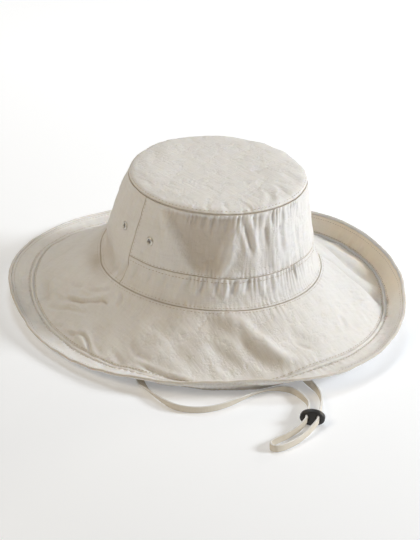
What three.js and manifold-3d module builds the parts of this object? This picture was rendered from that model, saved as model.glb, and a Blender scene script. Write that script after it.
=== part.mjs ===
// Wide-brimmed outback sun hat in cotton cloth, lying on its brim, with a chin cord on the surface before it.
// Millimetres, +Z up. The hat's front is -Y, its left side +X. z = 0 is the surface it lies on.
// The cloth is one profile, followed from the middle of the tip to the edge of the brim at every azimuth.
import * as THREE from "three";
import { mergeVertices } from "three/addons/utils/BufferGeometryUtils.js";
import Module from "manifold-3d";

const wasm = await Module();
wasm.setup();

// Head opening, at the seam between crown and brim.
const headHalfWidth = 85.8;
const headHalfLength = 101.4;

// Crown.
const tipHalfWidth = 67.6;
const tipHalfLength = 75;
const tipForward = 13.3;
const crownSideHeight = 76.8;
const tipRise = 4.6;
const tipSquareness = 8;
const footFlare = 3.8;
const bandHeight = 25;
const crownWall = 1.4;

// Brim: a sloping panel, a ridge where it is stitched to its border, and the border that turns up.
const brimPanelWidth = 62.9;
const brimSag = 2.4;
const borderWidth = 21;
const borderCurl = 1.6;
const brimWall = 1.6;
const ridgeRadius = 1.7;
const bindingHalfWidth = 1.4;
const bindingHalfThickness = 1.25;

// Cloth relief.
const crownFoldDepth = 3;
const gatherHeight = 0.7;
const brimFoldHeight = 5;

// Air left between two sewn pieces, and the angle of the side seams from straight ahead.
const seamGap = 0.3;
const sideSeamAzimuths = [-3, 177];

// Eyelets: two either side of each side seam, at a share of the crown's side.
const eyeletHoleRadius = 1.6;
const eyeletBarrelRadius = 2.2;
const eyeletFlangeRadius = 3.7;
const eyeletFlangeThickness = 0.6;
const eyeletHeightShare = 0.575;

// Chin cord: a flat tape, and the two-hole toggle on it.
const tapeWidth = 6;
const tapeThickness = 1.8;
const toggleHalfLength = 9.4;
const toggleHalfHeight = 6.3;
const toggleThickness = 5.2;
const toggleHoleSpacing = 8.6;
const toggleRounding = 1.3;

// Brim, a row every 30 degrees from the hat's left side: slope of the panel down, and of the border up.
const BRIM_ROWS = [
  { azimuth: 0, droop: 31, upturn: 58 },
  { azimuth: 30, droop: 37, upturn: 44 },
  { azimuth: 60, droop: 38.2, upturn: 18 },
  { azimuth: 90, droop: 33.3, upturn: 9 },
  { azimuth: 120, droop: 29.2, upturn: 6 },
  { azimuth: 150, droop: 34.4, upturn: 25 },
  { azimuth: 180, droop: 38.2, upturn: 18 },
  { azimuth: 210, droop: 38.2, upturn: 28 },
  { azimuth: 240, droop: 38.2, upturn: 46 },
  { azimuth: 270, droop: 28, upturn: 12 },
  { azimuth: 300, droop: 31.7, upturn: 30 },
  { azimuth: 330, droop: 30, upturn: 55 },
];

// Folds of the brim. inner and outer are where a fold starts and ends, in widths of the panel from the
// head opening, so 1 is the stitched ridge; azimuth and turn are at its start and to its end; spread is
// half its width in degrees; height is a share of brimFoldHeight, and a hollow is negative.
const BRIM_FOLDS = [
  { azimuth: 236, turn: 32, inner: 0.0, outer: 1.15, spread: 8, height: 0.85 },
  { azimuth: 222, turn: 27, inner: 0.02, outer: 1.1, spread: 6, height: -0.5 },
  { azimuth: 204, turn: 20, inner: 0.3, outer: 1.1, spread: 6, height: 0.3 },
  { azimuth: 342, turn: -33, inner: 0.12, outer: 1.12, spread: 8, height: -0.8 },
  { azimuth: 318, turn: -18, inner: 0.15, outer: 1.05, spread: 7, height: 0.35 },
  { azimuth: 174, turn: 13, inner: 0.55, outer: 1.08, spread: 4, height: 0.35 },
  { azimuth: 152, turn: 10, inner: 0.2, outer: 1.05, spread: 6, height: -0.35 },
  { azimuth: 110, turn: 6, inner: 0.1, outer: 1.1, spread: 9, height: 0.3 },
  { azimuth: 48, turn: -10, inner: 0.1, outer: 0.95, spread: 8, height: -0.4 },
];

// Where the tape passes under the stitched ridge, the cloth lies over it.
const TAPE_PASSAGE = { azimuth: 209, spread: 9, height: 0.44 };

// Dents and folds of the crown's side. low and high are shares of its height; depth is a share of
// crownFoldDepth, inwards, so a ridge is negative.
const CROWN_FOLDS = [
  { azimuth: 213, turn: 12, low: 0.16, high: 1.0, spread: 17, depth: 1.0 },
  { azimuth: 246, turn: 6, low: 0.3, high: 0.98, spread: 7, depth: -0.6 },
  { azimuth: 259, turn: -4, low: 0.34, high: 0.96, spread: 4, depth: 0.5 },
  { azimuth: 196, turn: 3, low: 0.3, high: 0.95, spread: 4, depth: -0.35 },
  { azimuth: 285, turn: 4, low: 0.2, high: 0.98, spread: 8, depth: 0.45 },
  { azimuth: 152, turn: -2, low: 0.01, high: 0.44, spread: 12, depth: 1.2 },
  { azimuth: 140, turn: -6, low: 0.3, high: 0.9, spread: 12, depth: -0.4 },
  { azimuth: 100, turn: 0, low: 0.1, high: 0.95, spread: 14, depth: 0.5 },
  { azimuth: 40, turn: 5, low: 0.1, high: 0.9, spread: 12, depth: 0.4 },
];

// Gathers beside the seams of the crown's front: at is the seam, as a share of the side's height, and
// reach how far they run from it, down when negative.
const GATHERS = [
  { at: 1, reach: -0.2, first: 192, last: 300, pitch: 8.5, height: 1 },
  { at: 0.325, reach: 0.12, first: 186, last: 304, pitch: 10, height: 0.7 },
  { at: 0.325, reach: -0.2, first: 184, last: 306, pitch: 9, height: 1 },
];

// Chin cord from one anchor inside the crown to the other. lift is the height above where it would lie,
// lean turns it from flat (0) to standing on its edge (90), and hang is 1 where it hangs by the wall.
const TAPE_ROUTE = [
  { x: -79.2, y: -2, lift: 47, lean: 0, hang: 1 },
  { x: -82.8, y: -9, lift: 10, lean: 0, hang: 0.8 },
  { x: -88, y: -17, lift: 2.8, lean: 0, hang: 0.3 },
  { x: -95, y: -29, lift: 0.5, lean: 0, hang: 0 },
  { x: -117, y: -60, lift: 0.1, lean: 0, hang: 0 },
  { x: -125, y: -75, lift: 0.1, lean: 8, hang: 0 },
  { x: -129, y: -90, lift: 0, lean: 55, hang: 0 },
  { x: -128.5, y: -117, lift: 0, lean: 84, hang: 0 },
  { x: -123.5, y: -127.5, lift: 0, lean: 84, hang: 0 },
  { x: -115, y: -135.5, lift: 0, lean: 82, hang: 0 },
  { x: -104, y: -140.5, lift: 0, lean: 80, hang: 0 },
  { x: -92, y: -142.5, lift: 0.1, lean: 78, hang: 0 },
  { x: -67.5, y: -143, lift: 0.15, lean: 46, hang: 0 },
  { x: -56.5, y: -145.6, lift: 0.1, lean: 46, hang: 0 },
  { x: -48.5, y: -151, lift: 0, lean: 75, hang: 0 },
  { x: -44.3, y: -158, lift: 0, lean: 92, hang: 0 },
  { x: -46.5, y: -177, lift: 0.6, lean: 90, hang: 0 },
  { x: -53, y: -186.5, lift: 2.4, lean: 90, hang: 0 },
  { x: -59.4, y: -192.5, lift: 3.3, lean: 90, hang: 0 },
  { x: -63.8, y: -196.2, lift: 3.3, lean: 90, hang: 0 },
  { x: -68.1, y: -199.9, lift: 3.3, lean: 90, hang: 0 },
  { x: -77, y: -202.5, lift: 1.6, lean: 90, hang: 0 },
  { x: -88, y: -203, lift: 0.2, lean: 90, hang: 0 },
  { x: -104.3, y: -203.4, lift: 0, lean: 90, hang: 0 },
  { x: -107.4, y: -207.2, lift: 0, lean: 90, hang: 0 },
  { x: -105, y: -211.4, lift: 0.1, lean: 90, hang: 0 },
  { x: -86, y: -212.4, lift: 0.2, lean: 90, hang: 0 },
  { x: -62.6, y: -206.5, lift: 3.3, lean: 90, hang: 0 },
  { x: -58.2, y: -202.8, lift: 3.3, lean: 90, hang: 0 },
  { x: -53.9, y: -199.1, lift: 3.3, lean: 90, hang: 0 },
  { x: -35.5, y: -181, lift: 0.2, lean: 88, hang: 0 },
  { x: -29, y: -169, lift: 0, lean: 84, hang: 0 },
  { x: -26, y: -155, lift: 0.15, lean: 60, hang: 0 },
  { x: -20, y: -138, lift: 0.25, lean: 16, hang: 0 },
  { x: -8, y: -114, lift: 0.15, lean: 0, hang: 0 },
  { x: 14, y: -84, lift: 0.2, lean: 0, hang: 0 },
  { x: 40, y: -56, lift: 0.35, lean: 0, hang: 0 },
  { x: 77, y: -14, lift: 3.6, lean: 0, hang: 0.3 },
  { x: 80.6, y: -6, lift: 12, lean: 0, hang: 0.8 },
  { x: 79.2, y: -2, lift: 47, lean: 0, hang: 1 },
];
const TAPE_STEPS = 80;
const tapeClearance = 0.15;

// The toggle stands on its edge between these two of the tape's runs.
const TOGGLE_PLACE = { x: -61, y: -199.5, facing: 220.5 };

// Facets round the hat, and along the profile of each piece.
const ROUND_STEPS = 72;
const FRONT_STEPS = 54;
const RIDGE_SIDES = 6;
const EYELET_SIDES = 10;
const PROBE = 1.5;

const CLOTH = 0xe6e1d5;
const PI2 = Math.PI * 2;
const radians = THREE.MathUtils.degToRad;

// Value of one column at an azimuth, on a smooth curve through the rows and round again.
function aroundHat(rows, column, azimuth) {
  const place = (((azimuth % 360) + 360) % 360) / 360 * rows.length;
  const row = Math.floor(place);
  const t = place - row;
  const [a, b, c, d] = [-1, 0, 1, 2].map((k) => rows[(row + k + rows.length) % rows.length][column]);
  return b + 0.5 * t * (c - a + t * (2 * a - 5 * b + 4 * c - d + t * (3 * (b - c) + d - a)));
}

// Signed angle between two azimuths, in degrees.
function apart(azimuth, other) {
  return ((azimuth - other + 540) % 360) - 180;
}

// A bell of height 1 at 0 that has nearly gone at 2.
function bell(x) {
  return Math.exp(-x * x);
}

// 0 outside two ends and 1 halfway between them, rising and falling softly.
function between(x, low, high) {
  const share = THREE.MathUtils.clamp((x - low) / (high - low), 0, 1);
  return Math.sin(Math.PI * share) ** 0.8;
}

// Relief of the crown's side at a share of its height, outwards.
function crownRelief(azimuth, share) {
  let relief = 0;
  for (const fold of CROWN_FOLDS) {
    const along = (share - fold.low) / (fold.high - fold.low);
    const across = apart(azimuth, fold.azimuth + fold.turn * along) / fold.spread;
    relief -= fold.depth * crownFoldDepth * bell(across) * between(share, fold.low, fold.high);
  }
  for (const row of GATHERS) {
    const along = (share - row.at) / row.reach;
    const middle = (azimuth - row.first) / (row.last - row.first);
    if (along < 0 || along > 1 || middle < 0 || middle > 1) continue;
    const wave = Math.sin(PI2 * azimuth / row.pitch + 2 * Math.sin(azimuth / 9));
    relief += row.height * gatherHeight * wave * Math.sin(Math.PI * middle) * Math.sin(Math.PI * along);
  }
  return relief;
}

// Relief of the brim at a distance from the head opening, in widths of the panel, upwards.
function brimRelief(azimuth, out) {
  let relief = 0;
  for (const fold of BRIM_FOLDS) {
    const along = (out - fold.inner) / (fold.outer - fold.inner);
    const across = apart(azimuth, fold.azimuth + fold.turn * along) / fold.spread;
    relief += fold.height * brimFoldHeight * bell(across) * between(out, fold.inner, fold.outer);
  }
  const over = bell(apart(azimuth, TAPE_PASSAGE.azimuth) / TAPE_PASSAGE.spread);
  const reach = between(out, 0.35, 1.65);
  return relief + TAPE_PASSAGE.height * brimFoldHeight * over * reach;
}

// Outward direction, level, of the head opening's oval.
function outward(azimuth) {
  const a = radians(azimuth);
  return new THREE.Vector3(Math.cos(a) / headHalfWidth, Math.sin(a) / headHalfLength, 0).normalize();
}

// Middle of the cloth. along runs 0 to 1 over the tip, 1 to 2 down the crown's side, 2 to 3 down the
// brim's panel and 3 to 4 up its border. Heights are from the head opening.
function cloth(along, azimuth) {
  const a = radians(azimuth);
  const cos = Math.cos(a);
  const sin = Math.sin(a);
  const tip = (share) => new THREE.Vector3(
    tipHalfWidth * cos * share, tipHalfLength * sin * share - tipForward,
    crownSideHeight + tipRise * Math.sqrt(Math.max(0, 1 - share ** tipSquareness)));
  if (along <= 1) return tip(along);
  const out = outward(azimuth);
  const foot = new THREE.Vector3(headHalfWidth * cos, headHalfLength * sin, 0);
  if (along <= 2) {
    const share = 2 - along;
    const flare = footFlare * (1 - share) * (1 - Math.exp(-share / 0.05));
    return foot.lerp(tip(1), share).addScaledVector(out, crownRelief(azimuth, share) - flare);
  }
  const droop = radians(aroundHat(BRIM_ROWS, "droop", azimuth));
  const upturn = radians(aroundHat(BRIM_ROWS, "upturn", azimuth));
  const share = Math.min(along - 2, 1);
  const point = foot.addScaledVector(out, brimPanelWidth * Math.cos(droop) * share);
  point.z -= brimPanelWidth * Math.sin(droop) * share + brimSag * 4 * share * (1 - share);
  const beyond = Math.max(along - 3, 0);
  point.addScaledVector(out, borderWidth * Math.cos(upturn) * beyond);
  point.z += borderWidth * Math.sin(upturn) * beyond - borderCurl * 6.75 * beyond ** 2 * (1 - beyond);
  point.z += brimRelief(azimuth, share + beyond * borderWidth / brimPanelWidth);
  return point;
}

// Length of each stretch of the profile, to turn millimetres into shares of it.
const STRETCH = [
  (tipHalfWidth + tipHalfLength) / 2, crownSideHeight, brimPanelWidth, borderWidth,
];

function shareOf(millimetres, stretch) {
  return millimetres / STRETCH[stretch];
}

// Direction out of the cloth's upper side, from points a little before and after, and to both sides.
function clothNormal(along, azimuth) {
  const stretch = Math.min(Math.floor(along), 3);
  const step = shareOf(PROBE, stretch);
  const turn = 0.5;
  if (along < step) return new THREE.Vector3(0, 0, 1);
  const down = cloth(Math.min(along + step, 4), azimuth).sub(cloth(along - step, azimuth));
  const round = cloth(along, azimuth + turn).sub(cloth(along, azimuth - turn));
  return down.cross(round).normalize();
}

// A closed mesh from points and triangles.
function solid(points, triangles) {
  const geometry = new THREE.BufferGeometry();
  geometry.setAttribute("position", new THREE.Float32BufferAttribute(points.flatMap((p) => p.toArray()), 3));
  geometry.setIndex(triangles);
  geometry.computeVertexNormals();
  return geometry;
}

// Triangles of a grid of points, rows by columns, with its first corner at a given index.
function gridTriangles(at, rows, columns, closed, flipped) {
  const triangles = [];
  const steps = closed ? columns : columns - 1;
  for (let r = 0; r < rows - 1; r += 1) {
    for (let c = 0; c < steps; c += 1) {
      const a = at(r, c);
      const b = at(r, (c + 1) % columns);
      const d = at(r + 1, c);
      const e = at(r + 1, (c + 1) % columns);
      triangles.push(...(flipped ? [a, b, e, a, e, d] : [a, e, b, a, d, e]));
    }
  }
  return triangles;
}

// A wall of cloth over shares of the profile and a range of azimuths: upper side, lower side and edges.
function clothWall(shares, first, last, steps, thickness) {
  const closed = last - first >= 360;
  const columns = closed ? steps : steps + 1;
  const rows = shares.length;
  const points = [];
  for (const side of [0.5, -0.5]) {
    for (const along of shares) {
      for (let c = 0; c < columns; c += 1) {
        const azimuth = first + (last - first) * c / steps;
        points.push(cloth(along, azimuth).addScaledVector(clothNormal(along, azimuth), side * thickness));
      }
    }
  }
  const upper = (r, c) => r * columns + c;
  const lower = (r, c) => (rows + r) * columns + c;
  const triangles = [
    ...gridTriangles(upper, rows, columns, closed, false),
    ...gridTriangles(lower, rows, columns, closed, true),
    ...gridTriangles((r, c) => (r ? upper(0, c) : lower(0, c)), 2, columns, closed, false),
    ...gridTriangles((r, c) => (r ? lower(rows - 1, c) : upper(rows - 1, c)), 2, columns, closed, false),
  ];
  if (!closed) {
    const start = (r, c) => (c ? upper(r, 0) : lower(r, 0));
    const end = (r, c) => (c ? lower(r, columns - 1) : upper(r, columns - 1));
    triangles.push(...gridTriangles(start, rows, 2, false, false));
    triangles.push(...gridTriangles(end, rows, 2, false, false));
  }
  return solid(points, triangles);
}

// The tip: both sides run in to a flat middle and close there.
function tipPanel(shares, thickness) {
  const points = [];
  for (const side of [0.5, -0.5]) {
    points.push(cloth(0, 0).add(new THREE.Vector3(0, 0, side * thickness)));
    for (const along of shares) {
      for (let c = 0; c < ROUND_STEPS; c += 1) {
        const azimuth = 360 * c / ROUND_STEPS;
        points.push(cloth(along, azimuth).addScaledVector(clothNormal(along, azimuth), side * thickness));
      }
    }
  }
  const half = 1 + shares.length * ROUND_STEPS;
  const upper = (r, c) => 1 + r * ROUND_STEPS + c;
  const lower = (r, c) => half + upper(r, c);
  const rim = shares.length - 1;
  const triangles = [
    ...gridTriangles(upper, shares.length, ROUND_STEPS, true, false),
    ...gridTriangles(lower, shares.length, ROUND_STEPS, true, true),
    ...gridTriangles((r, c) => (r ? lower(rim, c) : upper(rim, c)), 2, ROUND_STEPS, true, false),
  ];
  for (let c = 0; c < ROUND_STEPS; c += 1) {
    const next = (c + 1) % ROUND_STEPS;
    triangles.push(0, upper(0, c), upper(0, next));
    triangles.push(half, lower(0, next), lower(0, c));
  }
  return solid(points, triangles);
}

// A ring round the hat: an oval section at a place on the profile, lying along the cloth there.
function ringRound(along, halfWidth, halfThickness) {
  const points = [];
  for (let side = 0; side < RIDGE_SIDES; side += 1) {
    const turn = PI2 * side / RIDGE_SIDES;
    for (let c = 0; c < ROUND_STEPS; c += 1) {
      const azimuth = 360 * c / ROUND_STEPS;
      const up = clothNormal(along, azimuth);
      const over = outward(azimuth).projectOnPlane(up).normalize();
      points.push(cloth(along, azimuth)
        .addScaledVector(over, halfWidth * Math.cos(turn))
        .addScaledVector(up, halfThickness * Math.sin(turn)));
    }
  }
  const at = (r, c) => (r % RIDGE_SIDES) * ROUND_STEPS + c;
  return solid(points, gridTriangles(at, RIDGE_SIDES + 1, ROUND_STEPS, true, true));
}

// Shares from one to another in equal steps.
function spaced(from, to, steps) {
  return Array.from({ length: steps + 1 }, (_, i) => from + (to - from) * i / steps);
}

function named(name, geometry, colour = CLOTH, roughness = 0.9, metalness = 0) {
  const mesh = new THREE.Mesh(geometry, new THREE.MeshStandardMaterial({ color: colour, roughness, metalness }));
  mesh.name = name;
  return mesh;
}

// Cut one closed mesh with others, through manifold-3d.
function toManifold(geometry) {
  const plain = geometry.clone();
  plain.deleteAttribute("normal");
  plain.deleteAttribute("uv");
  const merged = mergeVertices(plain, 1e-4);
  return new wasm.Manifold(new wasm.Mesh({
    numProp: 3,
    vertProperties: new Float32Array(merged.attributes.position.array),
    triVerts: new Uint32Array(merged.index.array),
  }));
}

function cut(geometry, tools) {
  let body = toManifold(geometry);
  for (const tool of tools) body = body.subtract(toManifold(tool));
  const { vertProperties, triVerts } = body.getMesh();
  const result = new THREE.BufferGeometry();
  result.setAttribute("position", new THREE.BufferAttribute(vertProperties, 3));
  result.setIndex(new THREE.BufferAttribute(triVerts, 1));
  result.computeVertexNormals();
  return result;
}

// Turn a geometry from its own +Z to stand on the cloth at a place.
function standOnCloth(geometry, along, azimuth) {
  const turn = new THREE.Quaternion().setFromUnitVectors(new THREE.Vector3(0, 0, 1), clothNormal(along, azimuth));
  const place = new THREE.Matrix4().compose(cloth(along, azimuth), turn, new THREE.Vector3(1, 1, 1));
  return geometry.applyMatrix4(place);
}

// Eyelet: a barrel through the wall with a rounded flange outside and a flat washer inside.
function eyelet(along, azimuth) {
  const seat = crownWall / 2 + 1.5 * seamGap;
  const top = seat + eyeletFlangeThickness;
  const profile = [
    [eyeletHoleRadius, -top], [eyeletFlangeRadius, -top], [eyeletFlangeRadius, -seat],
    [eyeletBarrelRadius, -seat], [eyeletBarrelRadius, seat], [eyeletFlangeRadius, seat],
    [eyeletFlangeRadius * 0.9, top - 0.15], [eyeletFlangeRadius * 0.65, top], [eyeletHoleRadius, top - 0.25],
    [eyeletHoleRadius, -top],
  ].map(([radius, height]) => new THREE.Vector2(radius, height));
  return standOnCloth(new THREE.LatheGeometry(profile, EYELET_SIDES).rotateX(Math.PI / 2), along, azimuth);
}

function eyeletHole(along, azimuth) {
  const hole = new THREE.CylinderGeometry(
    eyeletBarrelRadius + seamGap, eyeletBarrelRadius + seamGap, crownWall * 5, EYELET_SIDES);
  return standOnCloth(hole.rotateX(Math.PI / 2), along, azimuth);
}

// The tape's middle line, with a width that stands or lies as its rows say.
class TapeCurve extends THREE.CatmullRomCurve3 {
  constructor(rows) {
    super(rows.map((row) => {
      const lean = radians(row.lean);
      const rest = (tapeWidth * Math.sin(lean) + tapeThickness * Math.abs(Math.cos(lean))) / 2;
      return new THREE.Vector3(row.x, row.y, row.lift + rest + tapeClearance);
    }));
    this.rows = rows;
  }

  // Sections lie closer together where the route's points do, as in its bends.
  getSpacedPoints(steps) {
    return this.getPoints(steps);
  }

  computeFrenetFrames(steps) {
    const frames = { tangents: [], normals: [], binormals: [] };
    for (let i = 0; i <= steps; i += 1) {
      const place = i / steps * (this.rows.length - 1);
      const row = Math.min(Math.floor(place), this.rows.length - 2);
      const [a, b] = [this.rows[row], this.rows[row + 1]];
      const lean = radians(THREE.MathUtils.lerp(a.lean, b.lean, place - row));
      const hang = THREE.MathUtils.lerp(a.hang, b.hang, place - row);
      const tangent = this.getTangent(i / steps);
      const flat = tangent.clone().cross(new THREE.Vector3(-hang, 0, 1 - hang)).normalize();
      const upright = flat.clone().cross(tangent);
      const width = flat.multiplyScalar(Math.cos(lean)).addScaledVector(upright, Math.sin(lean));
      frames.tangents.push(tangent);
      frames.normals.push(width);
      frames.binormals.push(tangent.clone().cross(width));
    }
    return frames;
  }
}

function chinCord() {
  const [w, t] = [tapeWidth / 2, tapeThickness / 2];
  const section = new THREE.Shape([
    [w, -t / 2], [w, t / 2], [w * 0.8, t], [-w * 0.8, t],
    [-w, t / 2], [-w, -t / 2], [-w * 0.8, -t], [w * 0.8, -t],
  ].map(([x, y]) => new THREE.Vector2(x, y)));
  return new THREE.ExtrudeGeometry(section, { steps: TAPE_STEPS, extrudePath: new TapeCurve(TAPE_ROUTE) });
}

// Points of an oval, without a repeated last one.
function oval(halfLength, halfHeight, sides, middle = 0) {
  return Array.from({ length: sides }, (_, i) => {
    const turn = PI2 * i / sides;
    return new THREE.Vector2(middle + halfLength * Math.cos(turn), halfHeight * Math.sin(turn));
  });
}

// Toggle: an oval block with rounded edges and two upright slots that the tape runs through.
function toggle() {
  const block = new THREE.ExtrudeGeometry(new THREE.Shape(oval(toggleHalfLength, toggleHalfHeight, 24)), {
    depth: toggleThickness - 2 * toggleRounding,
    bevelThickness: toggleRounding,
    bevelSize: toggleRounding,
    bevelOffset: -toggleRounding,
    bevelSegments: 2,
  });
  block.translate(0, 0, toggleRounding - toggleThickness / 2);
  const slots = [-0.5, 0.5].map((side) => {
    const outline = oval(tapeThickness / 2 + 3 * seamGap, tapeWidth / 2 + 2 * seamGap, 12, side * toggleHoleSpacing);
    const slot = new THREE.ExtrudeGeometry(new THREE.Shape(outline), {
      depth: 2 * toggleThickness,
      bevelEnabled: false,
    });
    return slot.translate(0, 0, -toggleThickness);
  });
  const geometry = cut(block, slots);
  geometry.rotateX(Math.PI / 2);
  geometry.rotateZ(radians(TOGGLE_PLACE.facing + 90));
  return geometry.translate(TOGGLE_PLACE.x, TOGGLE_PLACE.y, toggleHalfHeight + tapeClearance);
}

// Crown: tip, back panel, front panel and the band below it, sewn edge to edge.
const tipSeam = [1 - shareOf(seamGap / 2, 0), 1 + shareOf(seamGap / 2, 1)];
const headSeam = [2 - shareOf(seamGap / 2, 1), 2 + shareOf(seamGap / 2, 2)];
const bandSeam = 2 - shareOf(bandHeight, 1);
const [leftSeam, rightSeam] = sideSeamAzimuths;
const sideGap = THREE.MathUtils.radToDeg(seamGap / 2 / tipHalfWidth);
const eyeletAlong = 2 - eyeletHeightShare;
const eyeletTurn = 11.5;
const backEyelets = [leftSeam + eyeletTurn, rightSeam - eyeletTurn];
const frontEyelets = [leftSeam - eyeletTurn, rightSeam + eyeletTurn];

const hat = new THREE.Group();
hat.add(named("crown_tip", tipPanel([0.3, 0.65, 0.86, 0.95, tipSeam[0]], crownWall)));
hat.add(named("crown_back_panel", cut(
  clothWall([tipSeam[1], ...spaced(1.1, 1.86, 4), 1.95, headSeam[0]],
    leftSeam + sideGap, rightSeam - sideGap, ROUND_STEPS / 2, crownWall),
  backEyelets.map((azimuth) => eyeletHole(eyeletAlong, azimuth)))));
hat.add(named("crown_front_panel", cut(
  clothWall([tipSeam[1], ...spaced(1.06, bandSeam - 0.1, 4), bandSeam - shareOf(seamGap / 2, 1)],
    rightSeam + sideGap, leftSeam + 360 - sideGap, FRONT_STEPS, crownWall),
  frontEyelets.map((azimuth) => eyeletHole(eyeletAlong, azimuth)))));
hat.add(named("crown_band",
  clothWall([bandSeam + shareOf(seamGap / 2, 1), bandSeam + 0.13, 1.95, headSeam[0]],
    rightSeam + sideGap, leftSeam + 360 - sideGap, FRONT_STEPS, crownWall)));
[...backEyelets, ...frontEyelets].forEach((azimuth, i) => {
  hat.add(named(`eyelet_${i + 1}`, eyelet(eyeletAlong, azimuth), 0xb9b4aa, 0.35, 0.9));
});

// Brim: the panel and the border stop short of the ridge between them, and the border of its binding.
const ridgeClear = ridgeRadius + 1.5 * seamGap;
hat.add(named("brim_panel", clothWall(
  [headSeam[1], ...spaced(2.1, 2.8, 3), 3 - shareOf(ridgeClear, 2)], 0, 360, ROUND_STEPS, brimWall)));
hat.add(named("brim_ridge", ringRound(3, ridgeRadius, ridgeRadius)));
hat.add(named("brim_border", clothWall(
  [3 + shareOf(ridgeClear, 3), 3.5, 4 - shareOf(2 * bindingHalfWidth + seamGap, 3)],
  0, 360, ROUND_STEPS, brimWall)));
hat.add(named("brim_binding", ringRound(
  4 - shareOf(bindingHalfWidth, 3), bindingHalfWidth, bindingHalfThickness)));

// The hat rests on the lowest places of its brim, over the origin.
const hatBox = new THREE.Box3().setFromObject(hat, true);
const hatMiddle = hatBox.getCenter(new THREE.Vector3());
hat.position.z = -hatBox.min.z;

const outbackHat = new THREE.Group();
outbackHat.add(hat);
outbackHat.add(named("chin_cord", chinCord(), 0xd9cfbb, 0.85));
outbackHat.add(named("cord_toggle", toggle(), 0x141414, 0.35));
outbackHat.position.set(-hatMiddle.x, -hatMiddle.y, 0);

export default outbackHat;
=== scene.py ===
"""Outback hat of natural cotton, lying on its brim with its chin cord before it.

The cloth is one profile, followed from the middle of the tip to the edge of the brim at every azimuth.
Every piece is a stretch of it, worked out in millimetres from the middle of the head opening and then
moved into the row's frame in metres.
"""
import math

import bpy
import numpy as np
from bpy.props import FloatProperty, FloatVectorProperty, PointerProperty
from mathutils import Matrix, Vector


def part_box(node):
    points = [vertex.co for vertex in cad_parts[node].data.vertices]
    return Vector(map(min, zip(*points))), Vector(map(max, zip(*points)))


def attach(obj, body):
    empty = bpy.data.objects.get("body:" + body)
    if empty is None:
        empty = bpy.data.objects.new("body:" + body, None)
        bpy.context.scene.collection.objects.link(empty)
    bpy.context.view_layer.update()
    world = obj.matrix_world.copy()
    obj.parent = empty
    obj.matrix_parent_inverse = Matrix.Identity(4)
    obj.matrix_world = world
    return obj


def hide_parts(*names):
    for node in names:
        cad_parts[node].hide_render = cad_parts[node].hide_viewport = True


bl_info = {
    "name": "Outback hat",
    "version": (1, 0, 0),
    "blender": (4, 5, 0),
    "location": "View3D > Sidebar > Hat",
    "description": "Builds a wide-brimmed cotton hat with a chin cord, piece by piece",
    "category": "Add Mesh",
}

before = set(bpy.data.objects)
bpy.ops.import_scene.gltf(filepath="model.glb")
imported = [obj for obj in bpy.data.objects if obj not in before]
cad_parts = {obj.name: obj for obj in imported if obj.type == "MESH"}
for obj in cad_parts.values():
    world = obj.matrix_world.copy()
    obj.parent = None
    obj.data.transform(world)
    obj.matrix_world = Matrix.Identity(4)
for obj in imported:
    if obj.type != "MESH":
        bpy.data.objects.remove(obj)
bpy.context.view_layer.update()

MM = 0.001

# Brim, a row every 30 degrees from the hat's left side: slope of the panel down, and of the border up.
BRIM_ROWS = {
    "droop": (31, 37, 38.2, 33.3, 29.2, 34.4, 38.2, 38.2, 38.2, 28, 31.7, 30),
    "upturn": (58, 44, 18, 9, 6, 25, 18, 28, 46, 12, 30, 55),
}

# Folds of the brim: azimuth at the inner end, turn to the outer end, inner and outer end in widths of the
# panel, half width in degrees, height as a share of the brim's fold height.
BRIM_FOLDS = (
    (236, 32, 0.0, 1.15, 8, 0.85),
    (222, 27, 0.02, 1.1, 6, -0.5),
    (204, 20, 0.3, 1.1, 6, 0.3),
    (342, -33, 0.12, 1.12, 8, -0.8),
    (318, -18, 0.15, 1.05, 7, 0.35),
    (174, 13, 0.55, 1.08, 4, 0.35),
    (152, 10, 0.2, 1.05, 6, -0.35),
    (110, 6, 0.1, 1.1, 9, 0.3),
    (48, -10, 0.1, 0.95, 8, -0.4),
)

# Where the tape passes under the stitched ridge: azimuth, half width in degrees, inner and outer end in
# widths of the panel, share of fold height.
TAPE_PASSAGE = (209, 9, 0.35, 1.65, 0.44)

# Dents and folds of the crown's side: azimuth at the foot end, turn, low and high end as shares of the
# side, half width in degrees, depth inwards as a share of the crown's fold depth.
CROWN_FOLDS = (
    (213, 12, 0.16, 1.0, 17, 1.0),
    (246, 6, 0.3, 0.98, 7, -0.6),
    (259, -4, 0.34, 0.96, 4, 0.5),
    (196, 3, 0.3, 0.95, 4, -0.35),
    (285, 4, 0.2, 0.98, 8, 0.45),
    (152, -2, 0.01, 0.44, 12, 1.2),
    (140, -6, 0.3, 0.9, 12, -0.4),
    (100, 0, 0.1, 0.95, 14, 0.5),
    (40, 5, 0.1, 0.9, 12, 0.4),
)

# Gathers beside the seams of the crown's front: the seam and their reach as shares of the side, first and
# last azimuth, pitch in degrees, height as a share of the gather height.
GATHERS = (
    (1, -0.2, 192, 300, 8.5, 1),
    (0.325, 0.12, 186, 304, 10, 0.7),
    (0.325, -0.2, 184, 306, 9, 1),
)

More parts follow.
